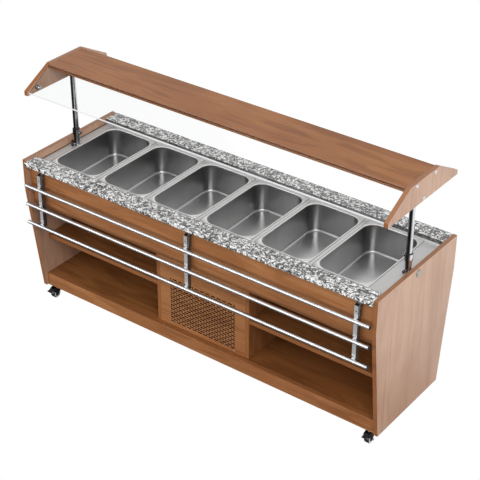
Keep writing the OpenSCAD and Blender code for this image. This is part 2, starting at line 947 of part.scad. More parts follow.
// Black plugs in the rails' and arms' ends, and the arms' rubber buffers
module slide_plugs() {
    reach = half_l - rail_inset;
    color(black) cabinet() {
        both_ends() for (z = rail_zs) translate([0, rail_y, z]) {
            rod_x(reach - plug_t, reach, rail_d);
            rod_x(reach - plug_depth, reach - plug_t, rail_d - 2 * tube_wall);
        }
        for (x = arm_xs) translate([x, 0, 0]) {
            along_x(-arm_w / 2, arm_w / 2) intersection() {
                arm_outline(arm_low_z, arm_top_z);
                translate([arm_front_y - overrun, arm_top_z - plug_t]) square(arm_d);
            }
            block([-arm_w / 2, arm_front_y, arm_low_z],
                [arm_w / 2, arm_back_y, arm_low_z + plug_t]);
            translate([0, 0, buffer_z])
                rod_y(arm_back_y, -apron_y - bracket_sheet / 4, buffer_d);
        }
    }
}

// U-shaped brackets on the apron, round the arms' top ends
module hinge_brackets() {
    out = bracket_in + cheek_sheet;
    web_y = -apron_y - bracket_sheet;
    color(steel) cabinet() for (x = arm_xs) translate([x, 0, 0]) difference() {
        block([-out, -apron_y - bracket_d, bracket_low_z], [out, -apron_y, bracket_top_z]);
        block([-bracket_in, -apron_y - bracket_d - overrun, bracket_low_z - overrun],
            [bracket_in, web_y, bracket_top_z + overrun]);
        translate([0, pivot_y, pivot_z]) rod_x(-arm_w, arm_w, pin_d);
    }
}

module hinge_pins() {
    out = bracket_in + cheek_sheet;
    color(chrome) cabinet() for (x = arm_xs) translate([x, pivot_y, pivot_z]) {
        rod_x(-out, out, pin_d);
        both_ends() rod_x(out, out + pin_head, pin_d + 2 * pin_head);
    }
}

// Castors

// Draws its children at the castor of one end and one side: 1 for right and rear, -1 for
// left and front
module at_castor(end, side) {
    cabinet() translate([end * castor_x, side * castor_y, 0])
        mirror([0, side > 0 ? 1 : 0, 0]) mirror([end < 0 ? 1 : 0, 0, 0]) children();
}

module castor_plates() {
    hole_d = 6;
    hole_at = castor_plate_w / 2 - hole_d;
    color(grey_paint) for (end = [-1, 1], side = [-1, 1]) at_castor(end, side) {
        difference() {
            translate([0, 0, castor_h - plate_t]) linear_extrude(height = plate_t)
                rounded(castor_plate_w, castor_plate_w, hole_d);
            for (sx = [-1, 1], sy = [-1, 1])
                translate([sx * hole_at, sy * hole_at, castor_h - 2 * plate_t])
                    cylinder(h = 3 * plate_t, d = hole_d);
        }
        translate([0, 0, head_low - head_gap])
            cylinder(h = castor_h - plate_t - head_low + head_gap, d = kingpin_d);
        translate([0, 0, head_low - head_gap - rivet_h])
            cylinder(h = rivet_h, d = kingpin_d + 2 * rivet_h);
    }
}

// Swivel head, two cheeks, the hood over the wheel, the axle and the brake pedal's pin
module castor_fork() {
    axle_y = -castor_trail;
    hood_in = wheel_r + hood_gap;
    hood_out = hood_in + hood_t;
    color(black) {
        difference() {
            translate([0, 0, head_low]) cylinder(h = head_h, d = head_d);
            translate([0, 0, head_low - overrun])
                cylinder(h = head_h + 2 * overrun, d = kingpin_d + 2 * running_fit);
        }
        for (sx = [0, 1]) mirror([sx, 0, 0]) along_x(cheek_in, cheek_out) {
            translate([axle_y, wheel_r]) circle(d = axle_boss_d);
            polygon([
                [axle_y - axle_boss_d / 2, wheel_r],
                [axle_y + axle_boss_d / 2, wheel_r],
                [head_d / 3, head_low],
                [head_d / 3, head_top],
                [-head_d / 3, head_top],
                [pedal_y - pedal_pin_d, pedal_z + pedal_pin_d / 2],
                [pedal_y - pedal_pin_d, pedal_z - pedal_pin_d]
            ]);
        }
        translate([0, axle_y, wheel_r]) intersection() {
            difference() {
                rod_x(-cheek_in, cheek_in, 2 * hood_out);
                rod_x(-cheek_out, cheek_out, 2 * hood_in);
            }
            block([-cheek_out, -hood_out, wheel_r / 3], [cheek_out, hood_out, wheel_r]);
        }
        translate([0, axle_y, wheel_r]) rod_x(-cheek_out, cheek_out, axle_d);
        translate([0, pedal_y, pedal_z]) rod_x(-cheek_out, cheek_out, pedal_pin_d);
    }
}

// A tyre with a rounded tread on a flanged hub
module castor_wheel() {
    half_w = wheel_w / 2;
    rim_r = rim_share * wheel_r;
    round_r = tread_round_share * wheel_r;
    bore_r = axle_d / 2 + running_fit;
    color(black) translate([0, -castor_trail, wheel_r]) rotate([0, 90, 0]) rotate_extrude() {
        translate([rim_r, -half_w + round_r]) square([wheel_r - rim_r, 2 * (half_w - round_r)]);
        translate([rim_r, -half_w]) square([wheel_r - rim_r - round_r, 2 * half_w]);
        for (s = [-1, 1])
            translate([wheel_r - round_r, s * (half_w - round_r)]) circle(r = round_r);
        translate([bore_r, -half_w]) square([axle_d / 2, 2 * half_w]);
        translate([bore_r, -half_w + round_r]) square([rim_r - bore_r, 2 * (half_w - round_r)]);
    }
}

// A bent pedal on its pin, tread to the front
module castor_brake() {
    tip = [pedal_y - pedal_l, pedal_z - pedal_t];
    half_w = cheek_in - cheek_gap / 2;
    color(grey_paint) difference() {
        union() {
            translate([0, pedal_y, pedal_z]) rod_x(-half_w, half_w, 2 * pedal_pin_d);
            along_x(-pedal_w / 2, pedal_w / 2) polygon([
                [pedal_y, pedal_z + pedal_pin_d],
                [tip.x, tip.y + pedal_t],
                tip,
                [pedal_y, pedal_z]
            ]);
        }
        translate([0, pedal_y, pedal_z])
            rod_x(-pedal_w, pedal_w, pedal_pin_d + 2 * running_fit);
    }
}

// Condensing unit behind the ventilated panels

unit_half_w = machine_in - board_t;
unit_d = 330;
unit_y0 = -inner_y + 3 * grille_t;
tray_sheet = 2;
tray_lip = 15;
unit_z = floor_top + tray_sheet;
coil_x = -machine_in / 3;
coil_w = 270;
coil_h = 250;
coil_d = 44;
coil_fins = 30;
fin_t = 1;
coil_tube_d = 10;
coil_passes = 5;
coil_z = unit_z;
coil_y0 = unit_y0 + tray_lip;
coil_y1 = coil_y0 + coil_d;
fan_d = 210;
fan_ring_l = 30;
fan_sheet = 2;
fan_z = coil_z + coil_h / 2;
fan_y = coil_y1 + fan_sheet;
motor_d = 70;
motor_l = 50;
hub_d = 60;
shaft_d = 8;
blade_count = 5;
blade_t = 2;
blade_pitch = 30;
chord_share = 0.7;
comp_d = 150;
comp_h = 190;
comp_x = machine_in - board_t - comp_d / 2 - tray_lip;
comp_y = unit_y0 + unit_d / 2;
foot_h = 12;

module unit_base() {
    color(grey_paint) cabinet() difference() {
        block([-unit_half_w, unit_y0, floor_top], [unit_half_w, unit_y0 + unit_d, floor_top + tray_lip]);
        block([-unit_half_w + tray_sheet, unit_y0 + tray_sheet, unit_z],
            [unit_half_w - tray_sheet, unit_y0 + unit_d - tray_sheet, floor_top + 2 * tray_lip]);
    }
}

// Welded shell with domed ends on a footed plate
module compressor() {
    dome = comp_d / 5;
    body_h = comp_h - 2 * dome;
    color(black) cabinet() translate([comp_x, comp_y, unit_z]) {
        translate([0, 0, foot_h]) {
            rotate_extrude() polygon(concat(
                [[0, 0], [comp_d / 3, 0]],
                [for (a = [0:15:90])
                    [comp_d / 3 + comp_d / 6 * sin(a), dome - dome * cos(a)]],
                [for (a = [0:15:90])
                    [comp_d / 2 * cos(a), dome + body_h + dome * sin(a)]]
            ));
            translate([0, 0, dome + body_h / 2]) cylinder(h = fan_sheet, d = comp_d + 2 * blade_t);
        }
        for (sx = [-1, 1], sy = [-1, 1])
            translate([sx * comp_d / 3, sy * comp_d / 3, 0]) cylinder(h = foot_h, d = comp_d / 8);
        translate([0, 0, foot_h]) linear_extrude(height = fan_sheet)
            rounded(comp_d, comp_d, comp_d / 10);
    }
}

// Finned coil between two end plates, with return bends outside them
module condenser() {
    pass_pitch = coil_h / coil_passes;
    fin_pitch = coil_w / (coil_fins - 1);
    mid = (coil_y0 + coil_y1) / 2;
    color(steel) cabinet() translate([coil_x, mid, coil_z]) {
        for (i = [0:coil_fins - 1])
            translate([-coil_w / 2 + i * fin_pitch, 0, 0])
                block([-fin_t / 2, -coil_d / 2, 0], [fin_t / 2, coil_d / 2, coil_h]);
        color(copper) for (k = [0:coil_passes - 1])
            translate([0, 0, (k + 1 / 2) * pass_pitch]) rod_x(-coil_w / 2, coil_w / 2, coil_tube_d);
        color(copper) for (k = [0:coil_passes - 2])
            translate([(k % 2 == 0 ? 1 : -1) * coil_w / 2, 0, (k + 1) * pass_pitch])
                mirror([k % 2, 0, 0]) rotate([90, -90, 0]) rotate_extrude(angle = 180)
                    translate([pass_pitch / 2, 0]) circle(d = coil_tube_d);
    }
}

// Sheet with a ring round the fan, and the motor on its two straps
module fan_shroud() {
    motor_y = fan_y + fan_ring_l + fan_sheet;
    strap_w = hub_d / 3;
    color(grey_paint) cabinet() translate([coil_x, 0, fan_z]) {
        difference() {
            union() {
                block([-coil_w / 2, coil_y1 + gap, -coil_h / 2], [coil_w / 2, fan_y + gap, coil_h / 2]);
                rod_y(coil_y1 + gap, fan_y + fan_ring_l, fan_d + 2 * fan_sheet);
            }
            rod_y(coil_y1 - overrun, fan_y + 2 * fan_ring_l, fan_d);
        }
        block([-fan_d / 2 - fan_sheet, fan_y + fan_ring_l, -strap_w / 2],
            [fan_d / 2 + fan_sheet, motor_y, strap_w / 2]);
        rod_y(motor_y, motor_y + motor_l, motor_d);
        rod_y(motor_y - fan_ring_l / 2, motor_y, shaft_d);
    }
}

// Hub with pitched blades, bored for the motor shaft
module fan_rotor() {
    hub_y0 = fan_y + fan_ring_l / 3;
    hub_y1 = fan_y + fan_ring_l - gap;
    blade_r = fan_d / 2 - 2 * fan_sheet;
    chord = chord_share * hub_d;
    color(black) cabinet() translate([coil_x, 0, fan_z]) difference() {
        union() {
            rod_y(hub_y0, hub_y1, hub_d);
            intersection() {
                rod_y(hub_y0, hub_y1, 2 * blade_r);
                for (i = [0:blade_count - 1])
                    rotate([0, i * 360 / blade_count, 0])
                        translate([0, (hub_y0 + hub_y1) / 2, 0]) rotate([0, 0, blade_pitch])
                            block([-chord / 2, -blade_t / 2, hub_d / 3], [chord / 2, blade_t / 2, blade_r]);
            }
        }
        rod_y(hub_y0 - overrun, hub_y1 + overrun, shaft_d + 2 * running_fit);
    }
}

// Copper lines from the compressor up to the well, and across to the coil
module refrigerant_pipes() {
    d = coil_tube_d;
    bend = 3 * d / 2;
    rise_x = comp_x + comp_d / 4;
    inner_share = 1 / 2 - d / comp_d;
    low_z = unit_z + foot_h + comp_h - comp_d / 5 * (1 - sqrt(1 - inner_share * inner_share)) + gap / 2;
    cross_z = low_z + comp_d / 5;
    end_x = coil_x + coil_w / 2 + coil_h / coil_passes / 2 + d;
    color(copper) cabinet() {
        translate([rise_x, comp_y, low_z]) cylinder(h = casing_low - low_z, d = d);
        translate([comp_x - comp_d / 4, comp_y, 0]) {
            translate([0, 0, low_z]) cylinder(h = cross_z - low_z, d = d);
            translate([-bend, 0, cross_z]) rotate([90, 0, 0]) rotate_extrude(angle = 90)
                translate([bend, 0]) circle(d = d);
        }
        translate([0, comp_y, cross_z + bend]) rod_x(end_x, comp_x - comp_d / 4 - bend, d);
    }
}

// Thermostat panel in the rear apron, and the power inlet in the rear ventilated panel
switch_x = control_x + control_w / 4;
switch_w = 24;
switch_h = 16;
switch_depth = 12;
display_w = 70;
display_h = 28;

module control_panel() {
    face_y = apron_y;
    socket_wall = 3;
    color(black) cabinet() {
        difference() {
            union() {
                block([control_x - control_w / 2, face_y, control_z - control_h / 2],
                    [control_x + control_w / 2, face_y + control_t, control_z + control_h / 2]);
                intersection() {
                    control_opening(gap);
                    block([-half_l, face_y - control_depth, 0], [half_l, face_y, cabinet_h]);
                }
            }
            block([switch_x - switch_w / 2, face_y - switch_depth, control_z - switch_h / 2],
                [switch_x + switch_w / 2, face_y + overrun, control_z + switch_h / 2]);
            block([control_x - control_w / 2 + 2 * control_lip, face_y + control_t / 2,
                    control_z - display_h / 2],
                [control_x - control_w / 2 + 2 * control_lip + display_w, face_y + overrun,
                    control_z + display_h / 2]);
        }
        translate([switch_x, face_y, control_z]) rod_x(-switch_w / 2, switch_w / 2, 2 * socket_wall / 3);
        difference() {
            inlet_body(0);
            translate([inlet_x, 0, inlet_z])
                block([-inlet_w / 2 + socket_wall, inner_y - grille_t, -inlet_h / 2 + socket_wall],
                    [inlet_w / 2 - socket_wall, inner_y + 2 * overrun, inlet_h / 2 - socket_wall]);
        }
    }
}

module rocker_switch() {
    pin = 2;
    half_w = switch_w / 2 - gap;
    half_h = switch_h / 2 - 2 * gap;
    color(grey_paint) cabinet() translate([switch_x, apron_y, control_z]) difference() {
        along_x(-half_w, half_w) polygon([
            [-switch_depth / 3, -half_h],
            [-switch_depth / 3, half_h],
            [control_t * 4 / 3, half_h],
            [control_t * 2 / 3, 0],
            [control_t * 4 / 3, -half_h]
        ]);
        rod_x(-switch_w, switch_w, pin + 2 * running_fit);
    }
}

end_panel_left();
end_panel_right();
front_apron();
rear_apron();
floor_board();
base_frame();
shelf_left();
shelf_right();
dividers();
front_grille();
rear_grille();
rear_boards();
well_tank();
tank_casing();
insulation();
deck();
pan_bars();
granite_front();
granite_rear();
drain();
post_sleeves();
post_bolts();
hinge_brackets();
hinge_pins();
castor_plates();
unit_base();
compressor();
condenser();
fan_shroud();
fan_rotor();
refrigerant_pipes();
control_panel();
rocker_switch();
pan(1);  // pan_1
pan(2);  // pan_2
pan(3);  // pan_3
pan(4);  // pan_4
pan(5);  // pan_5
pan(6);  // pan_6
gable_left();
gable_right();
roof_board();
canopy_glass();
post_tubes();
canopy_fittings();
clamp_knob_left();
clamp_knob_right();
tray_arms();
tray_rails();
slide_plugs();
at_castor(-1, -1) castor_fork();  // fork_front_left
at_castor(1, -1) castor_fork();  // fork_front_right
at_castor(-1, 1) castor_fork();  // fork_rear_left
at_castor(1, 1) castor_fork();  // fork_rear_right
at_castor(-1, -1) castor_wheel();  // wheel_front_left
at_castor(1, -1) castor_wheel();  // wheel_front_right
at_castor(-1, 1) castor_wheel();  // wheel_rear_left
at_castor(1, 1) castor_wheel();  // wheel_rear_right
at_castor(-1, -1) castor_brake();  // brake_front_left
at_castor(1, -1) castor_brake();  // brake_front_right
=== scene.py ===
import math

import bmesh
import bpy
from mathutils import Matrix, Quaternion, Vector


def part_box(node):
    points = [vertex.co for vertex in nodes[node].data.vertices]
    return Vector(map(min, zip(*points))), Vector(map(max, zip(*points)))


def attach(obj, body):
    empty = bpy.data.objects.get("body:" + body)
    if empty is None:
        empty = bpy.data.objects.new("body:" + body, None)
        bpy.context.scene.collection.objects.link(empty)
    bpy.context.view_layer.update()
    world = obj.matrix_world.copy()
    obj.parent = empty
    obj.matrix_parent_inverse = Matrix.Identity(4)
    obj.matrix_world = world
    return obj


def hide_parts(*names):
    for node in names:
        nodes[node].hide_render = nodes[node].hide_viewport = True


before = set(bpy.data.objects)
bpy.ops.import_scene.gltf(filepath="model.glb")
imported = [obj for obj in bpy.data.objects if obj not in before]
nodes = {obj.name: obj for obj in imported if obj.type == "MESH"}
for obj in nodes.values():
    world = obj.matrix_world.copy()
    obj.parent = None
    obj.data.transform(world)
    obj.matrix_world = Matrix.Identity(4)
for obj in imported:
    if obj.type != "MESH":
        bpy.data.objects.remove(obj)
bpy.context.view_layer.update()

# Lengths are in metres. The origin is on the floor under the middle of the plan outline, +Z is up,
# and the customers' side is -Y.

# The camera, with its angles in degrees and its sensor's width in millimetres
view_azimuth = 36.87
view_elevation = 31.93
view_roll = 0.1
view_target = (0.0638, 0.0070, 0.6501)
view_distance = 6.8057
focal_pixels = 1360
frame_pixels = 480
sensor_width = 36.0

# Sizes that the frame has too
pan_rim = 0.006
pan_corner = 0.066
rim_outline_corner = 0.009
pan_draft = 0.012
pan_fillet = 0.011
pan_sheet = 0.001
slot_size = Vector((0.024, 0.005))
slot_pitch = 0.035
slot_columns = 12
slot_rows = 22
slot_row_pitch = 0.0123
control_recess = 0.0015
display_size = Vector((0.069, 0.027))
display_offset = 0.0915
inlet_x = 0.243
inlet_z = 0.198
post_d = 0.028
collar_top = 0.940
post_screw_z = 0.857
screw_x = {"grille": (-0.209, 0.200), "arm": (-0.972, 0.0, 0.972)}
arm_screw_z = 0.678
arm_hole_z = 0.793
arm_wall = 0.002
arm_setback = 0.024


def tone(red, green, blue):
    """A colour given as it looks on a screen, 0 to 255, as linear red, green, blue and alpha."""
    def linear(level):
        share = level / 255
        if share <= 0.04045:
            return share / 12.92
        return ((share + 0.055) / 1.055) ** 2.4
    return (linear(red), linear(green), linear(blue), 1.0)


black = tone(0, 0, 0)
white = tone(255, 255, 255)


def scaled(colour, factor, lift=0.0):
    """A colour made lighter or darker by a factor, and lifted a little."""
    return tuple(min(1.0, level * factor + lift) for level in colour[:3]) + (1.0,)


class Socket:
    """An output of a finish's nodes. Arithmetic on it adds Math nodes."""

    def __init__(self, finish, link):
        self.finish = finish
        self.link = link

    def math(self, operation, first, second):
        return self.finish.node("ShaderNodeMath", {"operation": operation}, {0: first, 1: second})

    def __add__(self, other):
        return self.math("ADD", self, other)

    __radd__ = __add__

    def __sub__(self, other):
        return self.math("SUBTRACT", self, other)

    def __rsub__(self, other):
        return self.math("SUBTRACT", other, self)

    def __mul__(self, other):
        return self.math("MULTIPLY", self, other)

    __rmul__ = __mul__

    def __abs__(self):
        return self.math("ABSOLUTE", self, 0)

    def above(self, level):
        """1 where it is above a level, and 0 elsewhere."""
        return self.math("GREATER_THAN", self, level)

    def larger(self, other):
        return self.math("MAXIMUM", self, other)

    def smaller(self, other):
        return self.math("MINIMUM", self, other)

    def wave(self):
        return self.math("SINE", self, 0)

    def step(self, low, high):
        """0 below low, 1 above high, and smooth between them."""
        return self.finish.node(
            "ShaderNodeMapRange", {"interpolation_type": "SMOOTHSTEP"}, {0: self, 1: low, 2: high}
        )


class Finish:
    """A material, or the world, and the nodes in it."""

    def __init__(self, name, tree=None):
        """Starts a new material, or takes the node tree of the world."""
        if tree is None:
            self.material = bpy.data.materials.new(name)
            self.material.use_nodes = True
            tree = self.material.node_tree
        self.tree = tree
        self.tree.nodes.clear()

    def node(self, kind, settings=None, inputs=None, output=0):
        """A node with its settings and its inputs' values or links. It gives one of its outputs."""
        made = self.tree.nodes.new(kind)
        for name, value in (settings or {}).items():
            if name == "stops":
                self.set_stops(made.color_ramp, value)
            else:
                setattr(made, name, value)
        for name, value in (inputs or {}).items():
            if isinstance(value, Socket):
                self.tree.links.new(value.link, made.inputs[name])
            else:
                made.inputs[name].default_value = value
        return Socket(self, made.outputs[output]) if made.outputs else None

    def set_stops(self, ramp, stops):
        """Gives a ramp its places, in rising order, and the colour at each."""
        while len(ramp.elements) < len(stops):
            ramp.elements.new(1.0)
        for element, (place, colour) in zip(ramp.elements, stops):
            element.position = place
            element.color = colour

    def place(self):
        """Where a point of the surface is on the piece."""
        return self.node("ShaderNodeTexCoord", output="Object")

    def normal(self):
        """Which way the surface faces on the piece."""
        return self.node("ShaderNodeTexCoord", output="Normal")

    def along(self, vector, axis):
        """A vector's part along X, Y or Z."""
        return self.node("ShaderNodeSeparateXYZ", {}, {0: vector}, output=axis)

    def facing(self, axis):
        """How squarely the surface faces along X, Y or Z, from 0 to 1."""
        return abs(self.along(self.normal(), axis))

    def dot(self, first, second):
        """How far two vectors agree: 1 for unit vectors that point the same way."""
        settings = {"operation": "DOT_PRODUCT"}
        return self.node("ShaderNodeVectorMath", settings, {0: first, 1: second}, "Value")

    def stretched(self, vector, scales):
        """A vector with each of its three parts scaled."""
        return self.node("ShaderNodeVectorMath", {"operation": "MULTIPLY"}, {0: vector, 1: scales})

    def moved(self, vector, shift):
        return self.node("ShaderNodeVectorMath", {"operation": "ADD"}, {0: vector, 1: shift})

    def noise(self, vector, scale, detail=3.0, roughness=0.5, warp=0.0, output="Fac"):
        """Smooth noise, mostly between 0.3 and 0.7, with scale repeats per metre."""
        return self.node("ShaderNodeTexNoise", {}, {
            "Vector": vector, "Scale": scale, "Detail": detail, "Roughness": roughness,
            "Distortion": warp,
        }, output)

    def grained(self, place, grain, along, across, detail, roughness=0.5, warp=0.0):
        """Noise drawn out along an axis: few repeats along the grain and many across it."""
        scales = tuple(along if axis == grain else across for axis in "XYZ")
        return self.noise(self.stretched(place, scales), 1.0, detail, roughness, warp)

    def cells(self, vector, scale):
        """Flat patches, each with its own random colour."""
        return self.node("ShaderNodeTexVoronoi", {}, {"Vector": vector, "Scale": scale}, "Color")

    def ramp(self, share, stops):
        """The colour that a run of stops has at share."""
        return self.node("ShaderNodeValToRGB", {"stops": stops}, {0: share})

    def mix(self, share, first, second, blend="MIX"):
        """A colour between two, with share 0 for the first and 1 for the second. The node's
        sockets for colours are its inputs 6 and 7 and its output 2."""
        settings = {"data_type": "RGBA", "blend_type": blend}
        return self.node("ShaderNodeMix", settings, {0: share, 6: first, 7: second}, 2)

    def bump(self, height, depth, strength):
        """Relief, with depth in metres for a height of 1."""
        inputs = {"Height": height, "Distance": depth, "Strength": strength}
        return self.node("ShaderNodeBump", {}, inputs)

    def surface(self, **inputs):
        """The shader. Its inputs have small letters here, and underscores for their spaces."""
        named = {}
        for name, value in inputs.items():
            named[name.replace("_", " ").title().replace("Ior", "IOR")] = value
        return self.node("ShaderNodeBsdfPrincipled", {}, named, "BSDF")

    def blended(self, share, first, second):
        """A shader between two, with share 0 for the first and 1 for the second."""
        return self.node("ShaderNodeMixShader", {}, {0: share, 1: first, 2: second})

    def finished(self, shader, kind="ShaderNodeOutputMaterial"):
        """Ends the nodes with a shader."""
        self.node(kind, {}, {"Surface": shader})


# Board finishes

cherry_dark = tone(118, 70, 36)
cherry_mid = tone(157, 104, 62)
cherry_light = tone(180, 127, 84)
# A lighter copy of the cherry for the end panels and gables, its lightness painted sheen
painted_sheen_cherry = (tone(180, 138, 110), tone(200, 161, 134), tone(212, 176, 152))
deep_cherry = (cherry_dark, cherry_mid, cherry_light)
# A darker copy of the cherry for the roof board, its darkness painted shade
painted_shade_roof_cherry = (tone(112, 64, 29), tone(151, 97, 53), tone(174, 120, 74))
# A darker copy of the cherry for the floor board and shelves, its darkness painted shade
painted_shade_shelf_cherry = (tone(94, 55, 28), tone(136, 86, 46), tone(160, 108, 62))
banding_colour = tone(152, 97, 54)
banding_dark = tone(104, 58, 28)
slot_shadow = tone(26, 18, 14)
drift_stain = tone(160, 94, 50)
shade_places = (0.26, 0.50, 0.74)

# Each layer's repeats per metre along the grain and across it, its detail, and where it isn't
# plain its roughness and warp
figure_layer = (1.6, 15.0, 4.0, 0.55, 1.2)
streak_layer = (5.0, 130.0, 3.0, 0.6)
fibre_layer = (22.0, 900.0, 2.0, 0.7)
pore_layer = (60.0, 1500.0, 1.0)
pore_depth = 0.00012


def cherry_board(name, grain, face, shades=deep_cherry, edge=banding_colour, coat=0.14):
    """Cherry laminate, grained along one axis on the faces across another, with plain edge
    banding. Its three shades go from dark to light."""
    finish = Finish(name)
    place = finish.place()
    drift = finish.noise(place, 1.7, detail=2.0)
    figure = finish.grained(place, grain, *figure_layer)
    streaks = finish.grained(place, grain, *streak_layer)
    fibres = finish.grained(place, grain, *fibre_layer)
    pores = finish.grained(place, grain, *pore_layer).step(0.62, 0.72)
    rings = ((figure * 34 + drift * 6).wave() * 0.5 + 0.5).step(0.25, 1.0)
    share = figure * 0.62 + streaks * 0.24 + fibres * 0.16 + rings * 0.045 - 0.03
    board = finish.ramp(share, list(zip(shade_places, shades)))
    board = finish.mix(pores * 0.35, board, shades[0])
    board = finish.mix(drift.step(0.35, 0.7) * 0.25, board, drift_stain, "MULTIPLY")
    on_face = finish.facing(face).step(0.55, 0.75)
    banding = finish.mix(streaks.step(0.3, 0.8) * 0.4 + 0.6, banding_dark, edge)
    smudge = finish.noise(place, 9.0, 4.0)
    finish.finished(finish.surface(
        base_color=finish.mix(on_face, banding, board),
        roughness=0.34 + smudge * 0.16 + pores * 0.12,
        coat_weight=coat - pores * coat * 0.5,
        coat_roughness=0.25,
        specular_ior_level=0.22,
        normal=finish.bump(fibres * 0.6 + pores * -0.8, pore_depth, 0.6),
    ))
    return finish.material


def banding_arris():
    """The softened edge where banding meets a board's face, with its fine glue line."""
    finish = Finish("banding_arris")
    place = finish.place()
    wear = finish.noise(place, 60.0, 3.0).step(0.5, 0.75)
    finish.finished(finish.surface(
        base_color=finish.mix(wear * 0.5 + 0.3, banding_dark, cherry_light),
        roughness=0.38 + wear * 0.2,
        coat_weight=0.3,
        coat_roughness=0.25,
    ))
    return finish.material


# Stone

granite_stops = [
    (0.31, tone(30, 30, 32)), (0.42, tone(84, 84, 85)), (0.50, tone(128, 128, 127)),
    (0.57, tone(188, 188, 187)), (0.65, tone(250, 250, 249)),
]
mica_tone = tone(22, 22, 24)
inner_face_shade_tone = tone(30, 30, 31)
blotch_bend = (0.010, 0.010, 0.010)
blotch_depth = 0.00005


def speckled_granite(name, inner_face_shade=0.0):
    """Polished grey granite: white and black blotches over grey, a few millimetres wide. Its face
    towards the customers can carry painted shade."""
    finish = Finish(name)
    place = finish.place()
    bend = finish.noise(place, 140.0, 3.0, output="Color")
    bent = finish.moved(place, finish.stretched(bend, blotch_bend))
    coarse = finish.along(finish.cells(bent, 88.0), "X")
    medium = finish.along(finish.cells(bent, 170.0), "Y")
    fine = finish.along(finish.cells(place, 480.0), "Z")
    flecks = finish.noise(bent, 150.0, 3.0, 0.6)
    clouds = finish.noise(place, 14.0, 3.0)
    share = coarse * 0.34 + medium * 0.26 + flecks * 0.55 + fine * 0.10 + clouds * 0.14 - 0.19
    stone = finish.ramp(share, granite_stops)
    mica = fine.above(0.92) * medium.above(0.35)
    stone = finish.mix(mica, stone, mica_tone)
    # Painted shade on the faces towards the customers
    inner_face = (finish.along(finish.normal(), "Y") * -1).step(0.6, 0.8)
    stone = finish.mix(inner_face * inner_face_shade, stone, inner_face_shade_tone)
    finish.finished(finish.surface(
        base_color=stone,
        roughness=0.18 + fine * 0.10,
        coat_weight=0.5,
        coat_roughness=0.08,
        normal=finish.bump(coarse + fine * 0.5, blotch_depth, 0.4),
    ))
    return finish.material


# Metals

# Painted shade and dark reflections that steel and chrome show on their shaded sides
painted_shade_in_steel = tone(30, 29, 29)
painted_shade_in_chrome = tone(14, 13, 14)

# Where along Y painted shade on walls grows, and the heading in plan of chrome's light half
wall_shade_start = -0.16
wall_shade_end = 0.24
light_heading = (0.82, 0.57)

# The brushing's layers, in the same order as the grain's, and the relief's depths
line_layer = (12.0, 1600.0, 2.0, 0.6)
band_layer = (1.5, 60.0, 2.0)
scratch_scales = (40.0, 700.0, 90.0)
smear_scales = (30.0, 30.0, 9.0)
brush_depth = 0.00002
smear_depth = 0.00003
peel_depth = 0.00006
mould_depth = 0.00004


def brushed_metal(
    name, colour, grain, roughness, metallic=1.0, wear=0.05, side_shade=0.0, wall_shade=0.0
):
    """Sheet metal with fine brushing along one axis, faint stains and hairline scratches. Its
    faces to the left and right can carry painted shade, and so can its walls, more towards the
    rear."""
    finish = Finish(name)
    place = finish.place()
    lines = finish.grained(place, grain, *line_layer)
    bands = finish.grained(place, grain, *band_layer)
    stains = finish.noise(place, 6.0, 4.0, 0.6)
    scratch = finish.noise(finish.stretched(place, scratch_scales), 1.0, 1.0).step(0.70, 0.74)
    shade = lines * 0.10 + bands * 0.10 + stains * wear - 0.12
    contrast = (shade * 3 + 0.5).smaller(1).larger(0)
    brushed = finish.mix(contrast, scaled(colour, 0.80), scaled(colour, 1.08))
    # Painted shade on the faces to the left and right, and on upright walls, growing towards the
    # rear
    sides = finish.facing("X").step(0.5, 0.8) * side_shade
    at_rear = finish.along(place, "Y").step(wall_shade_start, wall_shade_end)
    walls = (1 - finish.facing("Z")).step(0.3, 0.95) * at_rear * wall_shade
    finish.finished(finish.surface(
        base_color=finish.mix(sides.larger(walls), brushed, painted_shade_in_steel),
        metallic=metallic,
        roughness=roughness + lines * 0.10 + stains * 0.04 - 0.07 + scratch * 0.06,
        normal=finish.bump(lines + scratch * 0.4, brush_depth, 0.6),
    ))
    return finish.material


def bright_chrome(name, colour, roughness, left_shade=0.0):
    """Polished plating with faint smears. Its left half can carry a painted dark reflection, up to
    a light rim.
    """
    finish = Finish(name)
    place = finish.place()
    normal = finish.normal()
    right_x, right_y = light_heading
    rightward = finish.along(normal, "X") * right_x + finish.along(normal, "Y") * right_y
    # Painted dark reflection on the left half, fading out at the edge that faces away from the
    # light heading
    left_half = 1 - rightward.step(-0.15, 0.15)
    within_rim = (rightward + 1).step(0.05, 0.3)
    shaded = left_half * within_rim * left_shade
    smears = finish.noise(finish.stretched(place, smear_scales), 1.0, 4.0, 0.6)
    specks = finish.noise(place, 700.0, 1.0).step(0.66, 0.72)
    smeared = finish.mix(smears.step(0.35, 0.75), colour, scaled(colour, 0.86))
    finish.finished(finish.surface(
        base_color=finish.mix(shaded, smeared, painted_shade_in_chrome),
        metallic=1.0,
        roughness=roughness + smears.step(0.4, 0.8) * 0.07 + specks * 0.05,
        normal=finish.bump(smears, smear_depth, 0.2),
    ))
    return finish.material


def coated_metal(name, colour, roughness, metallic=0.0, grain=260.0):
    """Painted, plated or cast metal with a fine orange-peel skin and rubbed patches."""
    finish = Finish(name)
    place = finish.place()
    peel = finish.noise(place, grain, 2.0)
    rub = finish.noise(place, 35.0, 4.0, 0.6).step(0.45, 0.8)
    finish.finished(finish.surface(
        base_color=finish.mix(rub, colour, scaled(colour, 1.35, 0.01)),
        metallic=metallic,
        roughness=roughness + rub * 0.12 + peel * 0.08 - 0.04,
        normal=finish.bump(peel, peel_depth, 0.5),
    ))
    return finish.material


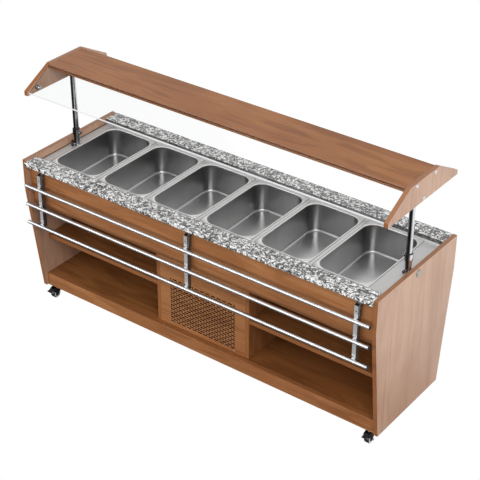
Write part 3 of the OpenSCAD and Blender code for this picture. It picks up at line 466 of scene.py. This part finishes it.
def moulded_plastic(name, colour, roughness):
    """Moulded plastic or rubber with a fine spark-eroded grain and dust in its low places."""
    finish = Finish(name)
    place = finish.place()
    grain = finish.noise(place, 1400.0, 2.0)
    dust = finish.noise(place, 40.0, 4.0, 0.65).step(0.5, 0.85)
    finish.finished(finish.surface(
        base_color=finish.mix(dust, colour, scaled(colour, 1.2, 0.03)),
        roughness=roughness + dust * 0.2 + grain * 0.06,
        normal=finish.bump(grain, mould_depth, 0.5),
    ))
    return finish.material


# Glass

glass_tilt = math.radians(33)
glass_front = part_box("canopy_glass")[0].y
ground_band = 0.0036
ground_fade = 0.0006
pane_tone = tone(246, 250, 249)
clear_tone = (0.992, 0.996, 0.994, 1.0)
painted_edge_light_tone = tone(236, 237, 237)
glass_side_tone = tone(120, 86, 62)
ground_tone = tone(92, 94, 95)
painted_edge_glow = 0.82
mirror_ior = 1.25


def canopy_glass_finish():
    """Clear float glass: a mirror that fades with the angle over a view straight through, and
    ground edges and a narrow ground band along the front that carry a painted pale glow."""
    finish = Finish("clear_glass")
    place = finish.place()
    across = (0.0, -math.sin(glass_tilt), math.cos(glass_tilt))
    flatness = abs(finish.dot(finish.normal(), across))
    band_end = glass_front + ground_band
    front_band = 1 - finish.along(place, "Y").step(band_end, band_end + ground_fade)
    edge = (1 - flatness.step(0.4, 0.6)).larger(front_band)
    side = finish.facing("X").step(0.7, 0.9)
    # Painted light: the ground edges and the front band glow pale, though they are no lamp
    glow = finish.mix(edge * (1 - side), black, painted_edge_light_tone)
    smear = finish.noise(place, 14.0, 4.0, 0.6).step(0.5, 0.85)
    fresnel = finish.node("ShaderNodeFresnel", {}, {"IOR": mirror_ior})
    clear = finish.node("ShaderNodeBsdfTransparent", {}, {"Color": clear_tone}, "BSDF")
    glossy = finish.surface(
        base_color=finish.mix(side, finish.mix(edge, pane_tone, ground_tone), glass_side_tone),
        metallic=1 - edge,
        roughness=0.03 + smear * 0.05 + edge * 0.3,
        emission_color=glow,
        emission_strength=painted_edge_glow,
    )
    share = (fresnel * 0.6 + smear * 0.004 + edge * (0.9 - side * 0.5)).smaller(1)
    finish.finished(finish.blended(share, clear, glossy))
    return finish.material


# The finishes of the frame's pieces

finishes = {
    "end_board": cherry_board("cherry_end_board", "Z", "X", painted_sheen_cherry, coat=0.6),
    "upright_board": cherry_board("cherry_upright_board", "Z", "X"),
    "long_board": cherry_board("cherry_long_board", "X", "Y"),
    "flat_board": cherry_board("cherry_flat_board", "X", "Z", painted_shade_roof_cherry),
    "shelf_board": cherry_board("cherry_shelf_board", "X", "Z", painted_shade_shelf_cherry),
    "grille_board": cherry_board("cherry_grille_board", "X", "Y", edge=slot_shadow),
    "arris": banding_arris(),
    "granite": speckled_granite("speckled_granite"),
    "inner_shaded_granite": speckled_granite("speckled_granite_with_painted_inner_shade", inner_face_shade=0.88),
    "deck_steel": brushed_metal("brushed_deck_steel", tone(206, 206, 206), "X", 0.50, 0.38),
    "bar_steel": brushed_metal("brushed_bar_steel", tone(214, 214, 213), "Y", 0.45, 0.45),
    "pan_steel": brushed_metal(
        "satin_pan_steel", tone(218, 218, 218), "Z", 0.30, wear=0.02, wall_shade=0.62
    ),
    "rim_steel": brushed_metal("satin_rim_steel", tone(236, 236, 235), "Z", 0.40, 0.50),
    "arm_steel": brushed_metal(
        "polished_arm_steel", tone(226, 227, 229), "Z", 0.20, 0.7, side_shade=0.8
    ),
    "chrome": bright_chrome("bright_chrome", tone(206, 207, 210), 0.10, 0.75),
    "fitting_chrome": bright_chrome("bright_fitting_chrome", tone(222, 223, 226), 0.10, 0.35),
    "cap_chrome": bright_chrome("satin_cap_chrome", tone(172, 172, 173), 0.22, 0.80),
    "post_chrome": bright_chrome("polished_post_steel", tone(228, 229, 231), 0.10, 0.97),
    "rail_chrome": bright_chrome("polished_rail_steel", tone(206, 207, 209), 0.30),
    "zinc": coated_metal("zinc_plate", tone(188, 190, 194), 0.35, 1.0, 420.0),
    "galvanised": coated_metal("galvanised_sheet", tone(160, 163, 166), 0.40, 0.9, 120.0),
    "black_coating": coated_metal("black_coating", tone(17, 17, 19), 0.34),
    "coil": coated_metal("coil_aluminium", tone(196, 198, 202), 0.35, 1.0, 500.0),
    "copper": coated_metal("drawn_copper", tone(196, 122, 84), 0.26, 1.0, 300.0),
    "black_plastic": moulded_plastic("black_plastic", tone(24, 24, 25), 0.42),
    "foam": moulded_plastic("insulating_foam", tone(212, 190, 130), 0.8),
    # Black foam for the filter mat, and painted shadow for the grille's slots
    "foam_and_slot_shadow": moulded_plastic("filter_foam_and_painted_slot_shadow", tone(14, 14, 15), 0.9),
    # Painted shadow of the glass's groove in the roof board
    "groove_shadow": moulded_plastic("painted_groove_shadow", tone(84, 46, 24), 0.9),
    "dark_bead": moulded_plastic("dark_brown_bead", tone(84, 62, 46), 0.5),
    # Painted shade for the screws' cross recesses and the arms' lock holes
    "recess": moulded_plastic("painted_recess_shade", tone(34, 34, 36), 0.6),
    "pane": moulded_plastic("display_pane", tone(20, 22, 26), 0.12),
    "lamp": moulded_plastic("amber_lamp", tone(232, 150, 40), 0.3),
    "pale_plastic": moulded_plastic("pale_plastic", tone(244, 245, 246), 0.30),
    "tyre": moulded_plastic("tyre_rubber", tone(26, 26, 28), 0.55),
    "pedal_plastic": moulded_plastic("pedal_plastic", tone(30, 30, 32), 0.45),
    "glass": canopy_glass_finish(),
}

pan_count = 6
castor_corners = ("front_left", "front_right", "rear_left", "rear_right")

node_finishes = {
    "end_board": ["end_panel_left", "end_panel_right", "gable_left", "gable_right"],
    "upright_board": ["dividers"],
    "long_board": ["front_apron", "rear_apron", "base_frame", "rear_boards"],
    "grille_board": ["front_grille", "rear_grille"],
    "flat_board": ["roof_board"],
    "shelf_board": ["floor_board", "shelf_left", "shelf_right"],
    "granite": ["granite_front"],
    "inner_shaded_granite": ["granite_rear"],
    "deck_steel": ["deck", "well_tank"],
    "bar_steel": ["pan_bars"],
    "pan_steel": [f"pan_{i}" for i in range(1, pan_count + 1)],
    "arm_steel": ["tray_arms", "hinge_brackets"],
    "rail_chrome": ["tray_rails"],
    "post_chrome": ["post_sleeves", "post_tubes"],
    "cap_chrome": ["post_bolts"],
    "fitting_chrome": ["canopy_fittings"],
    "chrome": ["clamp_knob_left", "clamp_knob_right", "hinge_pins", "drain"],
    "zinc": ["castor_plates"],
    "galvanised": ["tank_casing", "unit_base", "fan_shroud"],
    "foam": ["insulation"],
    "black_coating": ["compressor"] + [f"fork_{corner}" for corner in castor_corners],
    "coil": ["condenser"],
    "copper": ["refrigerant_pipes"],
    "black_plastic": ["control_panel", "rocker_switch", "slide_plugs", "fan_rotor"],
    "tyre": [f"wheel_{corner}" for corner in castor_corners],
    "pedal_plastic": ["brake_front_left", "brake_front_right"],
    "glass": ["canopy_glass"],
}

bevelled_boards = {
    "end_panel_left", "end_panel_right", "dividers", "gable_left", "gable_right", "front_apron",
    "base_frame", "floor_board", "shelf_left", "shelf_right", "roof_board",
}

board_arris = 0.0007
stone_arris = 0.0015
weld_distance = 0.00001
flat_angle = math.radians(0.5)
arris_angle = math.radians(25)


def soften_edges(piece, width, material):
    """Joins a piece's flat faces and rounds its arrises a little, in one of its finishes."""
    weld = piece.modifiers.new("weld", "WELD")
    weld.merge_threshold = weld_distance
    flats = piece.modifiers.new("flats", "DECIMATE")
    flats.decimate_type = "DISSOLVE"
    flats.angle_limit = flat_angle
    bevel = piece.modifiers.new("arris", "BEVEL")
    bevel.width = width
    bevel.segments = 2
    bevel.limit_method = "ANGLE"
    bevel.angle_limit = arris_angle
    bevel.material = material
    bevel.harden_normals = True


for finish_name, members in node_finishes.items():
    for member in members:
        mesh = nodes[member].data
        mesh.materials.clear()
        mesh.materials.append(finishes[finish_name])
        if member in bevelled_boards:
            mesh.materials.append(finishes["arris"])
            soften_edges(nodes[member], board_arris, 1)

for strip in ("granite_front", "granite_rear"):
    soften_edges(nodes[strip], stone_arris, 0)


# New pieces

up = (0, 0, 1)
frontward = (0, -1, 0)
rearward = (0, 1, 0)


def piece_from(mesh, name, finish, body, smooth=False):
    """A new piece from a bmesh, in the frame's axes, that moves with a body of the frame."""
    bmesh.ops.recalc_face_normals(mesh, faces=mesh.faces)
    data = bpy.data.meshes.new(name)
    mesh.normal_update()
    mesh.to_mesh(data)
    mesh.free()
    for polygon in data.polygons:
        polygon.use_smooth = smooth
    data.materials.append(finishes[finish])
    piece = bpy.data.objects.new(name, data)
    bpy.context.scene.collection.objects.link(piece)
    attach(piece, body)
    return piece


def bridge(mesh, lower, upper):
    """Faces between two closed rings of vertices."""
    for i in range(len(lower)):
        following = (i + 1) % len(lower)
        mesh.faces.new((lower[i], lower[following], upper[following], upper[i]))


def block(mesh, low, high):
    """A box between two corners."""
    made = bmesh.ops.create_cube(mesh, size=1.0)["verts"]
    low, high = Vector(low), Vector(high)
    bmesh.ops.scale(mesh, vec=high - low, verts=made)
    bmesh.ops.translate(mesh, vec=(low + high) / 2, verts=made)


def turned(mesh, profile, place, axis, segments=28, closed=True):
    """A body turned round an axis through a place, from pairs of radius and distance along it."""
    turn = Vector(up).rotation_difference(Vector(axis))
    rings = []
    for radius, along in profile:
        ring = []
        for k in range(segments):
            angle = 2 * math.pi * k / segments
            point = Vector((radius * math.cos(angle), radius * math.sin(angle), along))
            ring.append(mesh.verts.new(Vector(place) + turn @ point))
        rings.append(ring)
    for lower, upper in zip(rings, rings[1:]):
        bridge(mesh, lower, upper)
    if closed:
        mesh.faces.new(list(reversed(rings[0])))
        mesh.faces.new(rings[-1])


def washer(mesh, bore, width, place, axis, height):
    """A flat ring with broken edges that stands on a face."""
    inner = bore / 2
    outer = inner + width
    shoulder = height * 0.7
    turned(mesh, [
        (inner, 0), (outer, 0), (outer, shoulder), (inner + width * 0.8, height),
        (inner + width * 0.2, height), (inner, shoulder), (inner, 0),
    ], place, axis, closed=False)


def cross_screws(name, places, axis, diameter, body):
    """Lens-headed screws, heads standing on a face, with a dark cross of painted recess shade."""
    mesh = bmesh.new()
    radius = diameter / 2
    rise = diameter * 0.22
    dome = []
    for k in range(6):
        angle = math.pi * k / 12
        dome.append((radius * math.cos(angle), rise * math.sin(angle)))
    for place in places:
        turned(mesh, dome, place, axis)
    plain = len(mesh.faces)
    turn = Vector(up).rotation_difference(Vector(axis))
    arm, half_width = radius * 0.55, radius * 0.11
    # A thin dark cross on each head, painted shade that stands for the cross recess
    for place in places:
        for x, y in ((arm, half_width), (half_width, arm)):
            first = len(mesh.verts)
            block(mesh, (-x, -y, rise * 0.8), (x, y, rise * 1.01))
            mesh.verts.ensure_lookup_table()
            for vertex in mesh.verts[first:]:
                vertex.co = Vector(place) + turn @ vertex.co
    piece = piece_from(mesh, name, "zinc", body)
    piece.data.materials.append(finishes["recess"])
    for polygon in piece.data.polygons[plain:]:
        polygon.material_index = 1


# Pans

lip_corner = rim_outline_corner - pan_rim
shoulder_radius = 0.003
shoulder_out = 0.3
shoulder_steps = 5
wall_steps = 5
fillet_steps = 9
floor_crown = 0.0006
crown_inset = 0.012
rim_shadow_width = 0.0022
rim_shadow_gap = 0.0002
rim_shadow_sunk = 0.0004
rim_shadow_skirt = 0.0009


def pan_ring(mesh, centre, half, inset, height, corner=pan_corner, steps=14):
    """A ring of vertices round a pan, drawn in from its opening by inset."""
    radius = corner - inset
    ring = []
    for side_x, side_y, start in ((1, 1, 0), (-1, 1, 90), (-1, -1, 180), (1, -1, 270)):
        for i in range(steps + 1):
            angle = math.radians(start + 90 * i / steps)
            ring.append(mesh.verts.new((
                centre.x + side_x * (half.x - corner) + radius * math.cos(angle),
                centre.y + side_y * (half.y - corner) + radius * math.sin(angle),
                height,
            )))
    return ring


def pan_rim_shadow(i, centre, half, top):
    """A dark ring of painted shadow round a pan's rim on the deck, where the rim's shadow falls."""
    mesh = bmesh.new()
    inner, outer, skirt = [
        pan_ring(mesh, centre, half, -pan_rim - width, top - drop, lip_corner)
        for width, drop in (
            (rim_shadow_gap, rim_shadow_sunk), (rim_shadow_width, rim_shadow_sunk), (rim_shadow_width, rim_shadow_skirt)
        )
    ]
    bridge(mesh, outer, inner)
    bridge(mesh, skirt, outer)
    piece_from(mesh, f"pan_rim_shadow_{i}", "black_plastic", "cabinet")


def pan_profile(top, floor):
    """A pan's section from rim to floor, as pairs of inset from the opening and height."""
    profile = [(-shoulder_radius * shoulder_out, top)]
    for k in range(1, shoulder_steps + 1):
        angle = math.radians(90 * k / shoulder_steps)
        profile.append((
            shoulder_radius * (math.sin(angle) - shoulder_out),
            top - shoulder_radius * (1 - math.cos(angle)),
        ))
    wall_inset, wall_top = profile[-1]
    for k in range(1, wall_steps):
        share = k / wall_steps
        profile.append((
            wall_inset + (pan_draft - wall_inset) * share,
            wall_top + (floor + pan_fillet - wall_top) * share,
        ))
    floor_inset = pan_draft + pan_fillet
    for k in range(fillet_steps + 1):
        angle = math.radians(90 * k / fillet_steps)
        profile.append((
            floor_inset - pan_fillet * math.cos(angle),
            floor + pan_fillet - pan_fillet * math.sin(angle),
        ))
    profile.append((floor_inset + crown_inset, floor + floor_crown * 0.4))
    return profile


def drawn_pan(i):
    """A deep-drawn pan: a flat rim, a rolled shoulder, drafted walls and a filleted floor."""
    node = f"pan_{i}"
    low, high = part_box(node)
    centre = (low + high) / 2
    half = (high - low) / 2 - Vector((pan_rim, pan_rim, 0))
    top = high.z
    floor = low.z + pan_sheet
    mesh = bmesh.new()
    rings = [pan_ring(mesh, centre, half, -pan_rim, top, lip_corner)]
    for inset, height in pan_profile(top, floor):
        rings.append(pan_ring(mesh, centre, half, inset, height))
    for upper, lower in zip(rings, rings[1:]):
        bridge(mesh, lower, upper)
    middle = mesh.verts.new((centre.x, centre.y, floor + floor_crown))
    last = rings[-1]
    for k in range(len(last)):
        mesh.faces.new((last[(k + 1) % len(last)], last[k], middle))
    piece = piece_from(mesh, f"drawn_pan_{i}", "pan_steel", node, smooth=True)
    piece.data.materials.append(finishes["rim_steel"])
    for polygon in piece.data.polygons:
        if polygon.center.z > top - shoulder_radius:
            polygon.material_index = 1
    sheet = piece.modifiers.new("sheet", "SOLIDIFY")
    sheet.thickness = pan_sheet * 0.9
    sheet.offset = -1
    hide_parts(node)
    pan_rim_shadow(i, centre, half, top)


for number in range(1, pan_count + 1):
    drawn_pan(number)


# A painted groove shadow, beads, seals and fittings

groove_shadow_depth = 0.0026
groove_shadow_height = 0.0030
groove_shadow_reach = 0.003
end_bead_size = 0.004
post_ring_gap = 0.0006
post_ring_width = 0.004
post_ring_height = 0.0025
post_cap_profile = (
    (0.0055, 0), (0.0078, 0.001), (0.0078, 0.009), (0.0066, 0.0105), (0.003, 0.011)
)


def prism(mesh, ends, capped=True):
    """A bar between two like outlines, each a list of points."""
    ends = [[mesh.verts.new(point) for point in end] for end in ends]
    bridge(mesh, *ends)
    if capped:
        mesh.faces.new(ends[0])
        mesh.faces.new(ends[1])


def groove_shadow_strip():
    """A brown strip of painted shadow over the glass, where it leaves its groove in the roof board.
    """
    low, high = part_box("roof_board")
    top = high.z - groove_shadow_depth
    foot = top - groove_shadow_height
    front_foot = foot - groove_shadow_reach * math.tan(glass_tilt)
    section = [(low.y, top), (low.y, foot), (low.y - groove_shadow_reach, front_foot)]
    mesh = bmesh.new()
    prism(mesh, [[(x, y, z) for y, z in section] for x in (low.x, high.x)])
    piece_from(mesh, "groove_shadow_strip", "groove_shadow", "canopy")


def deck_end_beads():
    """The beads along the deck's ends, between the granite strips."""
    low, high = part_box("deck")
    front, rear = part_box("granite_front")[1].y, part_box("granite_rear")[0].y
    deck_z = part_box("pan_bars")[1].z
    mesh = bmesh.new()
    for wall, side in ((low.x, 1), (high.x, -1)):
        section = [
            (wall, deck_z), (wall + side * end_bead_size, deck_z), (wall, deck_z + end_bead_size)
        ]
        prism(mesh, [[(x, y, z) for x, z in section] for y in (front, rear)], capped=False)
    piece_from(mesh, "deck_end_beads", "dark_bead", "cabinet")


def post_seals():
    """Rubber rings at the sleeves' mouths and caps on the screws at their feet."""
    sleeve_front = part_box("post_sleeves")[0].y
    low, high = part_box("post_tubes")
    post_x = high.x - post_d / 2
    post_y = (low.y + high.y) / 2
    ring_bore = post_d + post_ring_gap
    mesh = bmesh.new()
    for x in (-post_x, post_x):
        mouth = (x, post_y, collar_top)
        washer(mesh, ring_bore, post_ring_width, mouth, up, post_ring_height)
        turned(mesh, post_cap_profile, (x, sleeve_front, post_screw_z), frontward)
    piece_from(mesh, "post_seals", "black_plastic", "cabinet", smooth=True)


# The rear panel's controls, measured from the rocker switch, and the inlet's pins

pane_thickness = 0.0011
lamp_profile = ((0.0018, 0), (0.0014, 0.0003))
lamp_pitch = 0.014
key_profile = ((0.0058, 0), (0.0058, 0.0006), (0.0048, 0.001))
key_columns = (-0.0435, -0.0255)
key_rows = (-0.010, 0.010)
pin_places = ((0.0, -0.009), (0.004, 0.0), (0.0, 0.009))
pin_half = Vector((0.001, 0.002))
pin_length = 0.007


def controls():
    """The display pane, its lamps and buttons on the rear panel, and the pins in the inlet."""
    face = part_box("control_panel")[1].y
    rocker = (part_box("rocker_switch")[0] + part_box("rocker_switch")[1]) / 2
    floor = face - control_recess
    pane_face = floor + pane_thickness
    display_x = rocker.x - display_offset
    half = display_size / 2
    pane, lamps_lit, keys, pins = (bmesh.new() for _ in range(4))
    block(
        pane, (display_x - half.x, floor, rocker.z - half.y),
        (display_x + half.x, pane_face, rocker.z + half.y),
    )
    for k in (-1, 0, 1):
        place = (display_x + k * lamp_pitch, pane_face, rocker.z)
        turned(lamps_lit, lamp_profile, place, rearward, 16)
    for x in key_columns:
        for z in key_rows:
            turned(keys, key_profile, (rocker.x + x, face, rocker.z + z), rearward)
    inlet_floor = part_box("rear_grille")[0].y
    for pin_x, pin_z in pin_places:
        x, z = inlet_x + pin_x, inlet_z + pin_z
        block(
            pins, (x - pin_half.x, inlet_floor, z - pin_half.y),
            (x + pin_half.x, inlet_floor + pin_length, z + pin_half.y),
        )
    piece_from(pane, "display_pane", "pane", "cabinet")
    piece_from(lamps_lit, "display_lamps", "lamp", "cabinet")
    piece_from(keys, "panel_keys", "pale_plastic", "cabinet")
    piece_from(pins, "inlet_pins", "zinc", "cabinet")


# The front grille's painted slot shadows and mat

slot_shadow_margin = 0.0009
slot_shadow_rise = 0.0004
mat_gap = 0.0006
mat_back = 0.004
mat_margin = 0.008
mat_foot = 0.016


def upright_outline(left, bottom, right, top, y):
    """The corners of an upright rectangle that faces along Y."""
    return [(left, y, bottom), (right, y, bottom), (right, y, top), (left, y, top)]


def painted_slot_shadows():
    """A thin dark frame of painted shadow round and through each slot of the front grille, in
    alternate full and shifted rows.
    """
    low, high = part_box("front_grille")
    face = low.y - slot_shadow_rise
    half_width = ((slot_columns - 1) * slot_pitch + slot_size.x) / 2
    stub = slot_size.x / 2 - slot_size.y
    mesh = bmesh.new()
    for row in range(slot_rows):
        z = low.z + slot_size.x + row * slot_row_pitch
        shifted = row % 2
        spans = []
        for i in range(slot_columns - shifted):
            start = -half_width + (i + shifted / 2) * slot_pitch
            spans.append((start, start + slot_size.x))
        if shifted:
            spans += [(-half_width, -half_width + stub), (half_width - stub, half_width)]
        for left, right in spans:
            opening = (left, z, right, z + slot_size.y)
            outline = (left - slot_shadow_margin, z - slot_shadow_margin, right + slot_shadow_margin, z + slot_size.y + slot_shadow_margin)
            rings = []
            for shape, y in ((outline, low.y), (outline, face), (opening, face), (opening, high.y)):
                rings.append([mesh.verts.new(point) for point in upright_outline(*shape, y)])
            for outer, inner in zip(rings, rings[1:]):
                bridge(mesh, outer, inner)
    piece_from(mesh, "painted_slot_shadows", "foam_and_slot_shadow", "cabinet")


def filter_mat():
    """The black foam mat behind the front grille."""
    low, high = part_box("front_grille")
    mesh = bmesh.new()
    block(
        mesh, (low.x + mat_margin, high.y + mat_gap, low.z + mat_foot),
        (high.x - mat_margin, high.y + mat_back, high.z - mat_margin),
    )
    piece_from(mesh, "filter_mat", "foam_and_slot_shadow", "cabinet")


# Castor trim and screws

wheel_ring_bore = 0.029
wheel_ring_width = 0.0065
wheel_ring_rise = 0.0005
nut_profile = ((0.0052, 0), (0.0052, 0.0028), (0.0044, 0.0034))
panel_screw_d = 0.009
panel_screw_edge = 0.009
arm_screw_d = 0.007
hole_shadow_radius = 0.0058
hole_shadow_profile = ((hole_shadow_radius, 0.0001), (hole_shadow_radius, 0.0011))


def castor_trim(corner):
    """Light rings on a wheel's sides, and nuts on the axle's ends."""
    low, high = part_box(f"wheel_{corner}")
    centre = (low + high) / 2
    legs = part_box(f"fork_{corner}")
    rings, nuts = bmesh.new(), bmesh.new()
    for side, wheel_face, leg_face in ((-1, low.x, legs[0].x), (1, high.x, legs[1].x)):
        outward = (side, 0, 0)
        on_wheel = (wheel_face, centre.y, centre.z)
        washer(rings, wheel_ring_bore, wheel_ring_width, on_wheel, outward, wheel_ring_rise)
        turned(nuts, nut_profile, (leg_face, centre.y, centre.z), outward, 6)
    piece_from(rings, f"wheel_rings_{corner}", "pale_plastic", f"wheel_{corner}")
    piece_from(nuts, f"axle_nuts_{corner}", "zinc", f"fork_{corner}")


def panel_screws():
    """The screws of the two ventilated panels."""
    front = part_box("front_grille")[0]
    foot = front.z + panel_screw_edge
    places = [(x, front.y, foot) for x in screw_x["grille"]]
    cross_screws("grille_screws", places, frontward, panel_screw_d, "cabinet")
    low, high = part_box("rear_grille")
    places = []
    for x in (low.x + panel_screw_edge, high.x - panel_screw_edge):
        for z in (low.z + panel_screw_edge, high.z - panel_screw_edge):
            places.append((x, high.y, z))
    cross_screws("back_screws", places, rearward, panel_screw_d, "cabinet")


def arm_fittings():
    """The screws of the tray slide's arms, and dark rings of painted shadow inside their lock
    holes.
    """
    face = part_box("tray_rails")[0].y + arm_setback
    hole_shadows = bmesh.new()
    for x in screw_x["arm"]:
        turned(hole_shadows, hole_shadow_profile, (x, face + arm_wall, arm_hole_z), rearward)
    piece_from(hole_shadows, "lock_hole_shadows", "recess", "tray_slide")
    places = [(x, face, arm_screw_z) for x in screw_x["arm"]]
    cross_screws("arm_screws", places, frontward, arm_screw_d, "tray_slide")


groove_shadow_strip()
deck_end_beads()
post_seals()
controls()
painted_slot_shadows()
filter_mat()
panel_screws()
arm_fittings()
for corner_name in castor_corners:
    castor_trim(corner_name)


# The studio

floor_greys = (tone(124, 124, 124), tone(130, 130, 130))
floor_dark = tone(4, 4, 4)
floor_reach = 40.0
right_rear = (0.6, 0.8)
ambient_level = 0.62
overhead_level = 0.90
grey_level = 0.20

# The headings of the pale walls that metal sees, and their levels
pale_walls = [((-0.51, 0.68, 0.53), 1.0), ((-0.51, -0.72, 0.47), 1.0), ((0.51, 0.68, 0.53), 0.8)]

# Each lamp's place, its target, its width and height, and its power in watts
lamps = {
    "key_softbox": ((3.4, -3.6, 4.6), (0.0, 0.0, 0.6), (3.2, 2.4), 150.0),
    "top_softbox": ((-0.6, -0.8, 5.2), (0.0, 0.0, 0.8), (4.0, 2.0), 34.0),
    "front_softbox": ((-2.6, -5.8, 1.9), (-0.3, 0.0, 0.6), (7.0, 1.6), 208.0),
    "side_softbox": ((5.6, 0.6, 1.7), (0.6, 0.0, 0.4), (2.4, 2.6), 76.0),
}


def ray_kinds(finish):
    """Sockets that are 1 for rays from the camera, from shiny surfaces and through glass."""
    kinds = ("Camera", "Glossy", "Transmission")
    return [finish.node("ShaderNodeLightPath", output=f"Is {kind} Ray") for kind in kinds]


def studio_floor():
    """A wide floor, white to the lens. Metal sees it white to the right rear, dark to the left
    rear and grey elsewhere."""
    finish = Finish("studio_floor")
    place = finish.place()
    direct, glossy, passed = ray_kinds(finish)
    x, y = finish.along(place, "X"), finish.along(place, "Y")
    right_x, right_y = right_rear
    grey = finish.mix(finish.noise(place, 3.0, 3.0), *floor_greys)
    to_right_rear = (x * right_x + y * right_y).step(0.6, 1.5)
    to_left_rear = (x * -1).step(1.2, 1.8) * (y + 0.4).step(-0.4, 0.4)
    shade = finish.mix(glossy * to_left_rear, grey, floor_dark)
    matt = finish.surface(base_color=shade, roughness=0.9)
    glow = finish.node("ShaderNodeEmission", {}, {"Color": white, "Strength": 1.0})
    share = direct.larger(passed).larger(glossy * to_right_rear)
    finish.finished(finish.blended(share, matt, glow))
    mesh = bmesh.new()
    signs = ((-1, -1), (1, -1), (1, 1), (-1, 1))
    mesh.faces.new([mesh.verts.new((i * floor_reach, k * floor_reach, 0)) for i, k in signs])
    data = bpy.data.meshes.new("studio_floor")
    mesh.to_mesh(data)
    mesh.free()
    data.materials.append(finish.material)
    floor = bpy.data.objects.new("studio_floor", data)
    bpy.context.scene.collection.objects.link(floor)


def studio_world():
    """White to the lens. Metal sees a white horizon, pale walls on three sides and a soft light
    overhead, with dark grey between them."""
    world = bpy.data.worlds.new("studio")
    bpy.context.scene.world = world
    world.use_nodes = True
    finish = Finish("studio", world.node_tree)
    direct, glossy, passed = ray_kinds(finish)
    heading = finish.node("ShaderNodeTexCoord", output="Generated")
    height = finish.along(heading, "Z")
    horizon = 1 - height.step(0.02, 0.16)
    overhead = height.step(0.70, 0.95) * overhead_level
    seen_by_metal = horizon.larger(overhead).larger(grey_level)
    for wall_heading, level in pale_walls:
        nearness = finish.dot(heading, wall_heading)
        seen_by_metal = seen_by_metal.larger(nearness.step(0.72, 0.97) * level)
    indirect = (1 - glossy) * ambient_level + glossy * seen_by_metal
    to_lens = direct.larger(passed)
    strength = indirect * (1 - to_lens) + to_lens
    back = finish.node("ShaderNodeBackground", {}, {"Color": white, "Strength": strength})
    finish.finished(back, "ShaderNodeOutputWorld")


def softbox(name, place, target, size, power):
    """A rectangular lamp that lights its target and isn't seen by the lens."""
    light = bpy.data.lights.new(name, "AREA")
    light.shape = "RECTANGLE"
    light.size, light.size_y = size
    light.energy = power
    lamp = bpy.data.objects.new(name, light)
    lamp.location = place
    lamp.rotation_mode = "QUATERNION"
    lamp.rotation_quaternion = (Vector(target) - Vector(place)).to_track_quat("-Z", "Y")
    lamp.visible_camera = False
    bpy.context.scene.collection.objects.link(lamp)


def set_camera():
    """The camera at the photograph's place, with its lens."""
    azimuth, elevation = math.radians(view_azimuth), math.radians(view_elevation)
    level = math.cos(elevation)
    back = Vector((math.sin(azimuth) * level, -math.cos(azimuth) * level, math.sin(elevation)))
    data = bpy.data.cameras.new("camera")
    data.sensor_width = sensor_width
    data.lens = focal_pixels / frame_pixels * sensor_width
    placed = bpy.data.objects.new("camera", data)
    placed.location = Vector(view_target) + back * view_distance
    placed.rotation_mode = "QUATERNION"
    roll = Quaternion((0, 0, 1), math.radians(view_roll))
    placed.rotation_quaternion = (-back).to_track_quat("-Z", "Y") @ roll
    bpy.context.scene.collection.objects.link(placed)
    bpy.context.scene.camera = placed


studio_floor()
studio_world()
for lamp_name, settings in lamps.items():
    softbox(lamp_name, *settings)
set_camera()
bpy.context.scene.view_settings.view_transform = "Standard"
